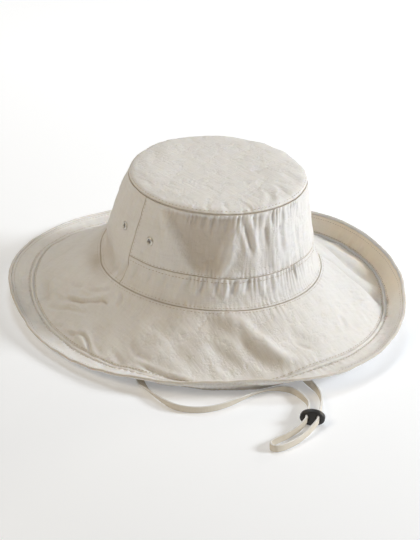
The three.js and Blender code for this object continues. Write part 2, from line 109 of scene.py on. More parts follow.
# Chin cord from one anchor inside the crown to the other, in millimetres from the middle of the head
# opening: x, y, height above where it would lie, lean from flat (0) to on its edge (90), and hang, which
# is 1 where it hangs by the wall.
TAPE_ROUTE = (
    (-79.2, -2, 47, 0, 1), (-82.8, -9, 10, 0, 0.8), (-88, -17, 2.8, 0, 0.3), (-95, -29, 0.5, 0, 0),
    (-117, -60, 0.1, 0, 0), (-125, -75, 0.1, 8, 0), (-129, -90, 0, 55, 0), (-128.5, -117, 0, 84, 0),
    (-123.5, -127.5, 0, 84, 0), (-115, -135.5, 0, 82, 0), (-104, -140.5, 0, 80, 0),
    (-92, -142.5, 0.1, 78, 0), (-67.5, -143, 0.15, 46, 0), (-56.5, -145.6, 0.1, 46, 0),
    (-48.5, -151, 0, 75, 0), (-44.3, -158, 0, 92, 0), (-46.5, -177, 0.6, 90, 0),
    (-53, -186.5, 2.4, 90, 0), (-59.4, -192.5, 3.3, 90, 0), (-63.8, -196.2, 3.3, 90, 0),
    (-68.1, -199.9, 3.3, 90, 0), (-77, -202.5, 1.6, 90, 0), (-88, -203, 0.2, 90, 0),
    (-104.3, -203.4, 0, 90, 0), (-107.4, -207.2, 0, 90, 0), (-105, -211.4, 0.1, 90, 0),
    (-86, -212.4, 0.2, 90, 0), (-62.6, -206.5, 3.3, 90, 0), (-58.2, -202.8, 3.3, 90, 0),
    (-53.9, -199.1, 3.3, 90, 0), (-35.5, -181, 0.2, 88, 0), (-29, -169, 0, 84, 0),
    (-26, -155, 0.15, 60, 0), (-20, -138, 0.25, 16, 0), (-8, -114, 0.15, 0, 0), (14, -84, 0.2, 0, 0),
    (40, -56, 0.35, 0, 0), (77, -14, 3.6, 0, 0.3), (80.6, -6, 12, 0, 0.8), (79.2, -2, 47, 0, 1),
)

# The tape: its clearance above the floor in millimetres and the samples from row to row of its route. Its
# section has so many sides, is rounded by powers below 1 of the cosine and the sine, and fills this share
# of its thickness.
TAPE_CLEARANCE = 0.15
TAPE_SAMPLES = 7
TAPE_SIDES = 20
TAPE_ROUNDING = (0.35, 0.55)
TAPE_FULLNESS = 0.9

# Unevenness of the tape's thickness along it: share, millimetres for one radian, phase in radians.
TAPE_RIPPLES = ((0.03, 2.3, 0), (0.03, 5.1, 1))

# The toggle's middle, and the azimuth that its face looks along.
TOGGLE_PLACE = (-61, -199.5, 220.5)

# Creases pressed into the cloth: azimuth and place on the profile of one end and of the other, half width,
# depth (less than 0 for a fold that stands out) and bow in the middle, in millimetres.
CREASES = (
    # The front of the crown's side
    (212, 1.12, 221, 1.6, 13, 1.5, 0), (241, 1.02, 231, 1.62, 3.4, -1.3, 2),
    (244, 1.03, 250, 1.42, 2.4, 1.7, 0), (259, 1.04, 260, 1.4, 2.2, 1.1, 1),
    (252, 1.06, 251, 1.52, 3.0, -0.7, 0), (271, 1.04, 271, 1.5, 2.6, 0.9, 2),
    (284, 1.25, 285, 1.56, 2.4, 0.6, 0), (193, 1.05, 204, 1.4, 3.6, -1.2, 0),
    (236, 1.3, 229, 1.64, 2.2, 0.8, -2), (206, 1.45, 216, 1.66, 3.0, -0.5, 0),
    (188, 1.5, 186, 1.66, 2.0, 0.5, 1), (224, 1.03, 222, 1.2, 2.0, -0.5, 0),
    (215, 1.02, 214, 1.16, 1.7, 0.6, 0), (231, 1.02, 230, 1.18, 1.7, 0.7, 0),
    (251, 1.02, 251, 1.15, 1.6, 0.7, 0), (263, 1.02, 264, 1.14, 1.6, 0.6, 0),
    (276, 1.02, 277, 1.18, 1.8, 0.6, 0),
    # The band below it
    (196, 1.7, 193, 1.9, 1.8, 0.8, 1), (203, 1.7, 201, 1.86, 1.7, 0.8, 0),
    (213, 1.7, 210, 1.92, 2.0, -0.7, 0), (224, 1.7, 221, 1.88, 1.8, 0.9, 0),
    (231, 1.7, 230, 1.85, 1.6, 0.9, 0), (236, 1.7, 234, 1.9, 1.8, -0.8, 0),
    (241, 1.7, 239, 1.86, 1.6, 0.9, 1), (247, 1.7, 246, 1.84, 1.6, 0.9, 0),
    (255, 1.7, 256, 1.9, 1.8, -0.6, 0), (266, 1.7, 267, 1.86, 1.8, 0.7, 0),
    (279, 1.7, 280, 1.85, 1.8, 0.6, 0), (186, 1.72, 183, 1.92, 1.8, 0.7, 1),
    (178, 1.74, 174, 1.97, 2.0, 1.3, 1), (182, 1.78, 181, 1.95, 1.8, -0.8, 0),
    (172, 1.84, 166, 1.98, 2.0, 0.9, 0),
    # Behind the side seam at azimuth 177
    (163, 1.1, 158, 1.6, 5.0, 0.6, 2), (170, 1.05, 168, 1.35, 3.0, -0.4, 0),
    # The tip
    (262, 0.97, 276, 0.72, 2.6, 0.7, 2), (282, 0.97, 292, 0.74, 2.8, 0.7, -1),
    (250, 0.98, 246, 0.84, 2.2, 0.5, 0), (270, 0.97, 281, 0.8, 2.4, -0.5, 0),
    (236, 0.98, 232, 0.88, 2.2, 0.4, 0), (222, 0.98, 220, 0.9, 2.0, 0.4, 0),
    (300, 0.95, 318, 0.7, 4.0, 0.5, 3), (150, 0.9, 190, 0.62, 4.4, 0.35, 4),
    (176, 0.95, 205, 0.78, 3.6, 0.35, 3), (20, 0.85, 60, 0.6, 5.0, 0.4, 4),
    (100, 0.9, 132, 0.7, 4.4, 0.4, -3), (248, 0.6, 330, 0.45, 5.0, 0.3, 5),
    # The brim's panel at the photograph's left
    (156, 2.56, 167, 2.45, 1.6, 1.7, 0.8), (166, 2.46, 178, 2.28, 1.6, 1.9, -1.5),
    (164, 2.29, 175, 2.12, 1.5, 1.4, 0.6), (173, 2.25, 179, 2.28, 1.5, 1.6, 0.3),
    (182, 2.08, 185, 2.22, 1.6, 1.7, -0.8), (154, 2.86, 163, 2.66, 1.8, 1.3, 0.5),
    (161, 2.68, 173, 2.53, 1.7, 1.3, -0.5), (141, 2.78, 152, 2.84, 3.6, 2.6, 0),
    (150, 2.72, 163, 2.5, 1.7, 1.2, 0.6), (168, 2.38, 176, 2.2, 1.5, -1.1, 0.4),
    (158, 2.5, 170, 2.36, 1.5, -1.1, 0.5), (150, 2.45, 160, 2.3, 1.9, 1.0, 1),
    (173, 2.87, 180, 2.79, 1.4, 2.17, 1), (179, 2.79, 186.5, 2.94, 1.3, 2.75, -2),
    (176, 2.83, 183, 2.9, 1.4, -1.3, 0), (170, 2.93, 176, 2.88, 1.5, 1.45, 0),
    (186, 2.86, 190, 2.94, 1.8, -1.01, 0), (165, 2.95, 169, 2.87, 1.6, 1.16, 0),
    # The front of the brim
    (207, 2.88, 224, 2.965, 1.6, 2.32, 1), (212, 2.93, 221, 2.99, 1.2, -1.16, 0),
    (199, 2.59, 209, 2.78, 2.4, 1.01, 2), (195, 2.8, 202, 2.95, 2.0, 0.87, 0),
    (208, 3.1, 222, 3.3, 1.8, 1.59, 1), (214, 3.0, 226, 3.12, 1.4, -1.01, 0),
    (226, 2.1, 243, 2.4, 5.0, 1.7, -2), (241, 2.36, 253, 2.86, 4.6, 2.5, 1),
    (243, 2.14, 252, 2.5, 3.6, -0.7, 0), (250, 2.44, 258, 2.86, 3.4, -0.9, 0),
    (224, 2.3, 233, 2.7, 5.0, -0.7, 2), (216, 2.5, 226, 2.85, 4.0, 0.7, 0),
    (232, 2.62, 240, 2.9, 3.0, 0.6, 0), (262, 2.3, 268, 2.7, 4.0, 0.5, 2),
    (262, 2.56, 266, 2.72, 1.8, 0.7, 0), (288, 2.5, 286, 2.65, 1.9, 0.8, 0),
    (284, 2.55, 281, 2.72, 2.2, -0.4, 0), (294, 2.3, 291, 2.52, 2.6, 0.4, 0),
    # The brim's panel at the photograph's right
    (307, 2.45, 311, 2.63, 1.9, -1.0, 0), (309, 2.75, 302, 2.62, 1.7, -0.9, 0),
    (304, 2.48, 307, 2.68, 1.8, 0.8, 0), (331, 2.03, 315, 2.9, 5.0, 3.6, 2),
    (352, 2.4, 324, 2.86, 6.0, 3.4, 3), (300, 2.7, 296, 2.86, 1.8, 0.6, 0),
    (333, 2.3, 332, 2.7, 3.0, 0.9, 2), (327, 2.2, 320, 2.55, 2.6, 0.9, 1),
    (318, 2.6, 313, 2.9, 2.2, 0.9, 0), (338, 2.5, 337, 2.85, 2.6, -0.7, 0),
    (325, 2.7, 322, 2.93, 2.0, -0.7, 0),
    # The border
    (358, 3.08, 356, 3.7, 1.9, 0.9, 0), (353, 3.05, 352, 3.8, 2.0, -0.9, 1),
    (348, 3.05, 347, 3.6, 1.8, 0.9, 0), (343, 3.05, 343, 3.5, 1.8, -0.7, 0),
    (338, 3.06, 336, 3.6, 1.9, 0.7, 0), (316, 3.04, 310, 3.3, 1.7, 0.9, 0),
    (305, 3.04, 303, 3.4, 1.6, 1.0, 0), (301, 3.05, 300, 3.3, 1.5, -0.9, 0),
    (296, 3.04, 294, 3.35, 1.6, 0.6, 0), (328, 3.1, 324, 3.4, 1.8, 0.6, 0),
    (160, 3.1, 168, 3.3, 1.8, 0.8, 0), (176, 3.08, 184, 3.3, 1.7, 0.7, 0),
    (190, 3.1, 197, 3.35, 1.8, 0.6, 0), (130, 3.1, 136, 3.5, 2.0, 0.5, 0),
    (118, 3.1, 112, 3.5, 2.2, 0.5, 0),
    # The back of the brim, and the crown's back and sides
    (20, 2.2, 30, 2.8, 5.0, 0.8, 3), (60, 2.3, 52, 2.8, 4.0, -0.6, 0), (80, 2.2, 86, 2.9, 5.0, 0.7, 3),
    (98, 2.4, 92, 2.85, 4.0, -0.6, 2), (120, 2.3, 128, 2.8, 4.0, 0.6, 0), (10, 3.1, 14, 3.6, 2.0, 0.7, 0),
    (60, 1.1, 52, 1.7, 6.0, 0.7, 2), (95, 1.08, 100, 1.6, 7.0, -0.6, 0),
    (120, 1.1, 128, 1.7, 6.0, 0.8, 3), (20, 1.15, 26, 1.6, 5.0, 0.5, 0),
    (310, 1.05, 306, 1.5, 4.0, 0.6, 2), (330, 1.05, 334, 1.4, 4.0, -0.5, 0),
    (345, 1.1, 340, 1.5, 3.6, 0.6, 0), (300, 1.7, 302, 1.9, 2.2, 0.6, 0),
    (322, 1.7, 320, 1.9, 2.2, 0.6, 0), (340, 1.7, 343, 1.9, 2.2, 0.6, 0),
)


class HatSizes(bpy.types.PropertyGroup):
    """Sizes of the hat, its seams and its cord."""

    head_half_width: FloatProperty(name="Head half width", description="Head opening, middle to side",
                                   default=85.8 * MM, unit="LENGTH")
    head_half_length: FloatProperty(name="Head half length", description="Head opening, middle to front",
                                    default=101.4 * MM, unit="LENGTH")
    tip_half_width: FloatProperty(name="Tip half width", description="Crown's tip, middle to side",
                                  default=67.6 * MM, unit="LENGTH")
    tip_half_length: FloatProperty(name="Tip half length", description="Crown's tip, middle to front",
                                   default=75 * MM, unit="LENGTH")
    tip_forward: FloatProperty(name="Tip forward", description="How far the tip lies before the opening",
                               default=13.3 * MM, unit="LENGTH")
    side_height: FloatProperty(name="Side height", description="Height of the crown's side",
                               default=76.8 * MM, unit="LENGTH")
    tip_rise: FloatProperty(name="Tip rise", description="Rise of the tip above its seam",
                            default=4.6 * MM, unit="LENGTH")
    tip_squareness: FloatProperty(name="Tip squareness", default=8,
                                  description="How flat the tip is before its shoulder")
    foot_flare: FloatProperty(name="Foot flare", description="How far the crown's foot flares out",
                              default=3.8 * MM, unit="LENGTH")
    band_height: FloatProperty(name="Band height", description="Height of the band round the crown's front",
                               default=25 * MM, unit="LENGTH")
    crown_wall: FloatProperty(name="Crown wall", description="Thickness of the crown's cloth",
                              default=1.4 * MM, unit="LENGTH")
    panel_width: FloatProperty(name="Brim panel", description="Width of the brim inside its ridge",
                               default=62.9 * MM, unit="LENGTH")
    brim_sag: FloatProperty(name="Brim sag", description="Sag of the brim's panel between its seams",
                            default=2.4 * MM, unit="LENGTH")
    border_width: FloatProperty(name="Brim border", description="Width of the brim outside its ridge",
                                default=21 * MM, unit="LENGTH")
    border_curl: FloatProperty(name="Border curl", description="Hollow of the border across its width",
                               default=1.6 * MM, unit="LENGTH")
    brim_wall: FloatProperty(name="Brim wall", description="Thickness of the brim's cloth",
                             default=1.6 * MM, unit="LENGTH")
    ridge_radius: FloatProperty(name="Ridge radius", description="Radius of the stitched ridge",
                                default=1.7 * MM, unit="LENGTH")
    hem_half_width: FloatProperty(name="Hem half width", description="Half the width of the rolled hem",
                                  default=1.4 * MM, unit="LENGTH")
    hem_half_thickness: FloatProperty(name="Hem half thickness", description="Half the hem's thickness",
                                      default=1.25 * MM, unit="LENGTH")
    crown_fold: FloatProperty(name="Crown fold", description="Depth of the crown's deepest dent",
                              default=3 * MM, unit="LENGTH")
    gather: FloatProperty(name="Gather", description="Height of the gathers beside the crown's seams",
                          default=0.7 * MM, unit="LENGTH")
    brim_fold: FloatProperty(name="Brim fold", description="Height of a full fold of the brim",
                             default=5 * MM, unit="LENGTH")
    seam_gap: FloatProperty(name="Seam gap", description="Gap between two sewn pieces",
                            default=0.04 * MM, unit="LENGTH")
    floor_gap: FloatProperty(name="Floor gap", description="Lowest height of any cloth, pressed flat there",
                             default=0.05 * MM, unit="LENGTH")
    seam_tuck: FloatProperty(name="Seam tuck", description="How far cloth is tucked under a rolled edge",
                             default=0.5 * MM, unit="LENGTH")
    stitch_length: FloatProperty(name="Stitch", description="Length of one stitch",
                                 default=2.1 * MM, unit="LENGTH")
    stitch_pitch: FloatProperty(name="Stitch pitch", description="From one stitch to the next",
                                default=2.9 * MM, unit="LENGTH")
    thread_radius: FloatProperty(name="Thread radius", description="Radius of the sewing thread",
                                 default=0.24 * MM, unit="LENGTH")
    eyelet_hole: FloatProperty(name="Eyelet hole", description="Radius of an eyelet's hole",
                               default=1.6 * MM, unit="LENGTH")
    eyelet_flange: FloatProperty(name="Eyelet flange", description="Radius of an eyelet's flange",
                                 default=3.7 * MM, unit="LENGTH")
    tape_width: FloatProperty(name="Tape width", description="Width of the chin cord's tape",
                              default=6 * MM, unit="LENGTH")
    tape_thickness: FloatProperty(name="Tape thickness", description="Thickness of the tape",
                                  default=1.8 * MM, unit="LENGTH")
    toggle_half_length: FloatProperty(name="Toggle half length", description="Half the toggle's length",
                                      default=9.4 * MM, unit="LENGTH")
    toggle_half_height: FloatProperty(name="Toggle half height", description="Half the toggle's height",
                                      default=6.3 * MM, unit="LENGTH")
    toggle_thickness: FloatProperty(name="Toggle thickness", description="Thickness of the toggle",
                                    default=5.2 * MM, unit="LENGTH")
    toggle_holes: FloatProperty(name="Toggle holes", description="Distance between the toggle's slots",
                                default=8.6 * MM, unit="LENGTH")
    toggle_rounding: FloatProperty(name="Toggle rounding", description="Radius of the toggle's edges",
                                   default=1.3 * MM, unit="LENGTH")


class HatColours(bpy.types.PropertyGroup):
    """Colours of the hat's cloth, thread, metal, tape and plastic."""

    cloth: FloatVectorProperty(name="Cloth", description="Natural cotton", subtype="COLOR", size=3,
                               min=0, max=1, default=(0.82, 0.811, 0.797))
    slub: FloatVectorProperty(name="Slub", description="Darker threads in the weave", subtype="COLOR",
                              size=3, min=0, max=1, default=(0.71, 0.694, 0.672))
    # The seam tone stands for painted shade: the cloth is mixed towards it in seams, creases and hollows. The
    # thread's ply bands take it too.
    seam: FloatVectorProperty(name="Seam", description="Cloth deep in seams and creases", subtype="COLOR",
                              size=3, min=0, max=1, default=(0.42, 0.335, 0.23))
    # Painted warm light and shade: the tan glow of light through the border's cloth at the right back, and
    # the warm shade in the trough beside the ridge there.
    painted_warm_glow_and_shade: FloatVectorProperty(name="Painted warm glow and shade", description="Cloth that the sun has yellowed",
                                subtype="COLOR", size=3, min=0, max=1, default=(0.92, 0.80, 0.62))
    thread: FloatVectorProperty(name="Thread", description="Sewing thread", subtype="COLOR", size=3,
                                min=0, max=1, default=(0.50, 0.43, 0.33))
    tape: FloatVectorProperty(name="Tape", description="Chin cord", subtype="COLOR", size=3,
                              min=0, max=1, default=(0.73, 0.66, 0.54))
    metal: FloatVectorProperty(name="Metal", description="Eyelets", subtype="COLOR", size=3,
                               min=0, max=1, default=(0.62, 0.60, 0.55))
    plastic: FloatVectorProperty(name="Plastic", description="Toggle", subtype="COLOR", size=3,
                                 min=0, max=1, default=(0.012, 0.012, 0.013))


def size(name):
    """One of the hat's sizes, in millimetres."""
    return getattr(bpy.context.scene.hat_sizes, name) / MM


def size_plain(name):
    """One of the hat's sizes that isn't a length."""
    return getattr(bpy.context.scene.hat_sizes, name)


def colour(name):
    """One of the hat's colours, with alpha."""
    return (*getattr(bpy.context.scene.hat_colours, name), 1.0)


# The hat's profile and its relief

def around_hat(column, azimuth):
    """Value of a column of BRIM_ROWS at azimuths, on a cubic through its rows and round again."""
    rows = np.array(BRIM_ROWS[column], float)
    place = (azimuth % 360) / 360 * len(rows)
    row = np.floor(place).astype(int)
    t = place - row
    a, b, c, d = (rows[(row + k) % len(rows)] for k in (-1, 0, 1, 2))
    return b + 0.5 * t * (c - a + t * (2 * a - 5 * b + 4 * c - d + t * (3 * (b - c) + d - a)))


def apart(azimuth, other):
    """Signed angle from one azimuth to another, in degrees."""
    return (azimuth - other + 540) % 360 - 180


def bell(x):
    """1 at 0, falling as the square's exponential."""
    return np.exp(-np.square(x))


def between(x, low, high):
    """0 outside two ends and 1 halfway, as the 0.8th power of a half sine."""
    return np.sin(np.pi * np.clip((x - low) / (high - low), 0, 1)) ** 0.8


def soft_step(x):
    """0 below 0, 1 above 1, and a smooth cubic between."""
    x = np.clip(x, 0, 1)
    return x * x * (3 - 2 * x)


def crown_relief(azimuth, share):
    """Main relief of the crown's side, outwards: each fold is a bell across times a hump along it."""
    relief = np.zeros_like(azimuth)
    for at, turn, low, high, spread, depth in CROWN_FOLDS:
        across = apart(azimuth, at + turn * (share - low) / (high - low)) / spread
        relief -= depth * size("crown_fold") * bell(across) * between(share, low, high)
    for seam, reach, first, last, pitch, height in GATHERS:
        along = (share - seam) / reach
        middle = (azimuth % 360 - first) / (last - first)
        inside = (along >= 0) & (along <= 1) & (middle >= 0) & (middle <= 1)
        wave = np.sin(2 * np.pi * (azimuth % 360) / pitch + 2 * np.sin((azimuth % 360) / 9))
        hump = np.sin(np.pi * np.clip(middle, 0, 1)) * np.sin(np.pi * np.clip(along, 0, 1))
        relief += np.where(inside, height * size("gather") * wave * hump, 0)
    return relief


def brim_relief(azimuth, out):
    """Main relief of the brim, upwards, at a distance out in widths of the panel."""
    relief = np.zeros_like(azimuth)
    for at, turn, inner, outer, spread, height in BRIM_FOLDS:
        across = apart(azimuth, at + turn * (out - inner) / (outer - inner)) / spread
        relief += height * size("brim_fold") * bell(across) * between(out, inner, outer)
    at, spread, inner, outer, height = TAPE_PASSAGE
    over = bell(apart(azimuth, at) / spread) * between(out, inner, outer)
    return relief + height * size("brim_fold") * over


def outward(azimuth):
    """Level direction out of the head opening's oval."""
    a = np.radians(azimuth)
    out = np.stack([np.cos(a) / size("head_half_width"), np.sin(a) / size("head_half_length"), 0 * a], -1)
    return out / np.linalg.norm(out, axis=-1, keepdims=True)


# Share of the side's height over which the foot's flare sets in, and the scale that makes the top of
# x squared times (1 - x) 1.
FLARE_START = 0.05
HUMP_SCALE = 6.75


def cloth(along, azimuth):
    """Middle of the cloth. along runs 0 to 1 over the tip, to 2 down the crown's side, to 3 down the brim's
    panel and to 4 up its border. The tip is an oval with a dome whose height is the root of 1 less a high
    power of the radius; the side is a straight run between two ovals, less the flare above its foot; panel
    and border go out along the opening's normals, down and up by their angles, less their sag and curl."""
    along, azimuth = np.broadcast_arrays(np.asarray(along, float), np.asarray(azimuth, float))
    a = np.radians(azimuth)
    cos, sin = np.cos(a), np.sin(a)
    out = outward(azimuth)
    up = np.array([0.0, 0.0, 1.0])

    tip_share = np.clip(along, 0, 1)
    dome = np.sqrt(np.maximum(0, 1 - tip_share ** size_plain("tip_squareness")))
    tip = np.stack([size("tip_half_width") * cos * tip_share,
                    size("tip_half_length") * sin * tip_share - size("tip_forward"),
                    size("side_height") + size("tip_rise") * dome], -1)

    foot = np.stack([size("head_half_width") * cos, size("head_half_length") * sin, 0 * a], -1)
    share = np.clip(2 - along, 0, 1)
    flare = size("foot_flare") * (1 - share) * (1 - np.exp(-share / FLARE_START))
    side = foot + (tip - foot) * share[..., None]
    side = side + out * (crown_relief(azimuth, share) - flare)[..., None]

    droop = np.radians(around_hat("droop", azimuth))
    upturn = np.radians(around_hat("upturn", azimuth))
    run = np.clip(along - 2, 0, 1)
    beyond = np.clip(along - 3, 0, 1)
    level = size("panel_width") * np.cos(droop) * run + size("border_width") * np.cos(upturn) * beyond
    drop = size("panel_width") * np.sin(droop) * run + size("brim_sag") * 4 * run * (1 - run)
    climb = size("border_width") * np.sin(upturn) * beyond
    climb = climb - size("border_curl") * HUMP_SCALE * beyond ** 2 * (1 - beyond)
    relief = brim_relief(azimuth, run + beyond * size("border_width") / size("panel_width"))
    brim = foot + out * level[..., None] + up * (climb - drop + relief)[..., None]

    return np.where((along <= 1)[..., None], tip, np.where((along <= 2)[..., None], side, brim))


def stretch_length(along):
    """Length in millimetres of the stretch of profile that each place is in."""
    lengths = np.array([(size("tip_half_width") + size("tip_half_length")) / 2, size("side_height"),
                        size("panel_width"), size("border_width")])
    return lengths[np.clip(np.floor(along).astype(int), 0, 3)]


def profile_length(along):
    """Length in millimetres of the profile from the middle of the tip to each place."""
    lengths = stretch_length(np.arange(4) + 0.5)
    return np.interp(along, np.arange(5), np.concatenate([[0], np.cumsum(lengths)]))


# Chords that give the cloth's normal: half their length down it in millimetres and round it in degrees.
PROBE = 1.5
PROBE_TURN = 0.5


def cloth_normal(along, azimuth):
    """Direction out of the cloth's upper side: the cross of the chords down and round it."""
    along, azimuth = np.broadcast_arrays(np.asarray(along, float), np.asarray(azimuth, float))
    step = PROBE / stretch_length(along)
    down = cloth(np.minimum(along + step, 4), azimuth) - cloth(np.maximum(along - step, 1e-4), azimuth)
    round_ = cloth(np.maximum(along, 1e-3), azimuth + PROBE_TURN) - cloth(
        np.maximum(along, 1e-3), azimuth - PROBE_TURN)
    normal = np.cross(down, round_)
    normal /= np.linalg.norm(normal, axis=-1, keepdims=True)
    return np.where((along < step)[..., None], np.array([0.0, 0.0, 1.0]), normal)


def waves(points, seed, count, shortest, longest):
    """Smooth noise of about unit height: a sum of plane waves of random direction, phase and length."""
    draw = np.random.default_rng(seed)
    total = np.zeros(points.shape[:-1])
    for _ in range(count):
        direction = draw.normal(size=3)
        direction /= np.linalg.norm(direction)
        length = draw.uniform(shortest, longest)
        total += np.sin(points @ direction * (2 * np.pi / length) + draw.uniform(0, 2 * np.pi))
    return total / math.sqrt(count / 2)


# Soft waves of all the cloth: seed, number of waves, shortest and longest wave and height in millimetres.
CLOTH_WAVES = (
    (3, 14, 18, 42, 0.3),
    (4, 14, 6, 13, 0.09),
)


def cloth_waves(points):
    """Height in millimetres of the soft waves: the sum of the rows of CLOTH_WAVES."""
    return sum(height * waves(points, *row) for *row, height in CLOTH_WAVES)


def seam_pucker(azimuth, distance, pitch, reach, seed):
    """Small puckers beside a seam: a wave round the hat whose pitch and height wander, dying away with
    distance from the seam in millimetres."""
    draw = np.random.default_rng(seed)
    a = np.radians(azimuth)
    phase = 2 * np.pi * azimuth / pitch
    height = np.full_like(azimuth, 0.6)
    for k in (3, 5, 8, 13, 21):
        phase = phase + draw.uniform(0.8, 2.2) * np.sin(k * a + draw.uniform(0, 6.28))
        height = height + draw.uniform(0.1, 0.3) * np.sin((k + 4) * a + draw.uniform(0, 6.28))
    lean = draw.uniform(-0.15, 0.15)
    fade = np.exp(-np.abs(distance) / reach) * (1 - np.exp(-np.abs(distance) / 0.9))
    return np.clip(height, 0, 1.2) * np.sin(phase + lean * distance) * fade


# Puckers beside each seam: place on the profile, side it lies on, pitch in degrees, reach and height in
# millimetres, first and last azimuth, seed.
PUCKERS = (
    (1.0, 1, 3.1, 9.0, 0.85, 185, 312, 11),
    (1.0, 1, 4.3, 6.0, 0.4, 312, 542, 12),
    (1.0, -1, 2.9, 5.0, 0.55, 192, 320, 13),
    (1.0, -1, 3.3, 4.0, 0.25, 300, 560, 21),
    (1.675, -1, 2.7, 5.0, 0.5, 182, 355, 14),
    (1.675, 1, 2.9, 9.0, 0.95, 182, 355, 15),
    (2.0, -1, 2.6, 5.0, 0.4, 0, 360, 16),
    (2.0, 1, 3.3, 6.0, 0.35, 0, 360, 17),
    (3.0, -1, 2.3, 6.0, 0.42, 0, 360, 18),
    (3.0, 1, 2.1, 7.0, 0.6, 0, 360, 19),
    (4.0, -1, 1.9, 3.5, 0.26, 0, 360, 20),
)


# Where warm light and shade are painted on the cloth, each as the middle azimuth, half width and softness in
# degrees: on the border, a painted warm glow of light through the cloth, and on a band of the brim's panel
# beside the ridge, painted warm shade in the trough there.
PAINTED_GLOW_BORDER = (342, 44, 30)
PAINTED_SHADE_BAND = (338, 26, 12)

# How far past the ridge the border's painted warm glow starts and over how much it sets in, in millimetres.
BORDER_FADE = (1, 3)

# The band's middle line: azimuth, millimetres past the ridge there, and millimetres a degree beyond it.
BAND_LINE = (335, -9, -0.3)
BAND_HALF_WIDTH = 7
BAND_SHARE = 0.8


def painted_warm_share(along, azimuth):
    """Share of painted warm glow and shade on the cloth: soft steps round the right back of the border, and
    a bell across a band of the brim that runs beside the ridge there."""
    from_ridge = profile_length(along) - profile_length(3)
    begin, reach = BORDER_FADE
    at, half_width, softness = PAINTED_GLOW_BORDER
    border = soft_step((from_ridge - begin) / reach) * soft_step(
        (half_width - abs(apart(azimuth, at))) / softness)
    at, past, slope = BAND_LINE
    middle = past + slope * apart(azimuth, at)
    at, half_width, softness = PAINTED_SHADE_BAND
    band = bell((from_ridge - middle) / BAND_HALF_WIDTH) * soft_step(
        (half_width - abs(apart(azimuth, at))) / softness)
    return np.clip(border + BAND_SHARE * band, 0, 1)


def puckers(along, azimuth):
    """Puckers beside every seam: the sum of the rows of PUCKERS, each inside its own azimuths."""
    relief = np.zeros(np.broadcast(along, azimuth).shape)
    for place, side, pitch, reach, height, first, last, seed in PUCKERS:
        distance = (along - place) * side
        distance = distance * stretch_length(np.full_like(along, place + side * 1e-3))
        middle = ((azimuth - first) % 360) / (last - first)
        inside = np.where(last - first >= 360, 1.0, between(middle, 0, 1)) * (distance >= 0)
        relief = relief + height * inside * seam_pucker(azimuth, distance, pitch, reach, seed)
    return relief


# The dent in the crown's front: place on the profile, azimuth of its left and of its right edge.
DENT_EDGES = ((1.02, 193, 243), (1.12, 197, 240.5), (1.25, 203, 237), (1.39, 208, 235), (1.51, 211, 233),
              (1.62, 217, 231), (1.68, 222, 229))

# The dent: depth in millimetres, softness of its left and right edge in degrees; the lip beyond its right
# edge: height in millimetres, distance and half width in degrees; the shallow hollow beyond the lip: its
# share of the depth, distance and softness in degrees, azimuth and softness of its far end.
DENT_DEPTH, DENT_SOFT_LEFT, DENT_SOFT_RIGHT = 1.6, 9, 3.2
LIP_HEIGHT, LIP_BEYOND, LIP_HALF_WIDTH = 1.1, 3, 2.2
BESIDE_DENT = (0.4, 4, 4, 263, 2.4)


def front_dent(along, azimuth):
    """The front's dent as a share, 1 inside it, with a soft left edge and a sharp right one, and the lip
    of cloth that stands along its right edge, as a share too. The dent's share goes on, lower, beyond the
    lip."""
    azimuth = azimuth % 360
    place, left, right = np.array(DENT_EDGES).T
    left = np.interp(along, place, left)
    right = np.interp(along, place, right)
    height = between((along - 1.0) / 0.7, 0, 1)
    inside = soft_step((azimuth - left) / DENT_SOFT_LEFT + 0.4) * soft_step(
        (right - azimuth) / DENT_SOFT_RIGHT + 0.5)
    ends = soft_step((along - 1.01) / 0.05) * soft_step((1.69 - along) / 0.12)
    lip = bell((azimuth - right - LIP_BEYOND) / LIP_HALF_WIDTH) * ends * height
    share, beyond, softness, far, far_softness = BESIDE_DENT
    beside = soft_step((azimuth - right - beyond) / softness) * soft_step(
        (far - azimuth) / far_softness + 0.5)
    return (inside + share * beside) * ends, lip


# How much calmer the tip is, and over which share of its radius that sets in.
TIP_CALM, TIP_CALM_REACH = 0.45, 0.12

# The roll inside the tip's seam: distance from the seam, half width and height in millimetres. It is full
# over the front, from the first azimuth on and for so many degrees, and has its least share elsewhere.
TIP_ROLL = (3.0, 2.2, 0.7)
TIP_ROLL_FULL = (190, 130, 0.6)

# Soft swellings of the cloth: place on the profile, middle past it and half width in millimetres, azimuth
# and half width in degrees, height in millimetres. The first is the foot that is pressed in at the left.
SWELLINGS = (
    (2, -2, 10, 141, 23, -7.5),
    (2, -27, 9, 156, 15, 2.4),
)

# Beside the ridge: distance from it, half width and height in millimetres of a groove and a shoulder.
BESIDE_RIDGE = ((2.1, 1.0, -0.5), (4.6, 1.8, 0.3))

# The lips that stand beside a crease: share of its depth, distance and half width in its half widths.
CREASE_LIPS = (0.4, 2.1, 0.9)


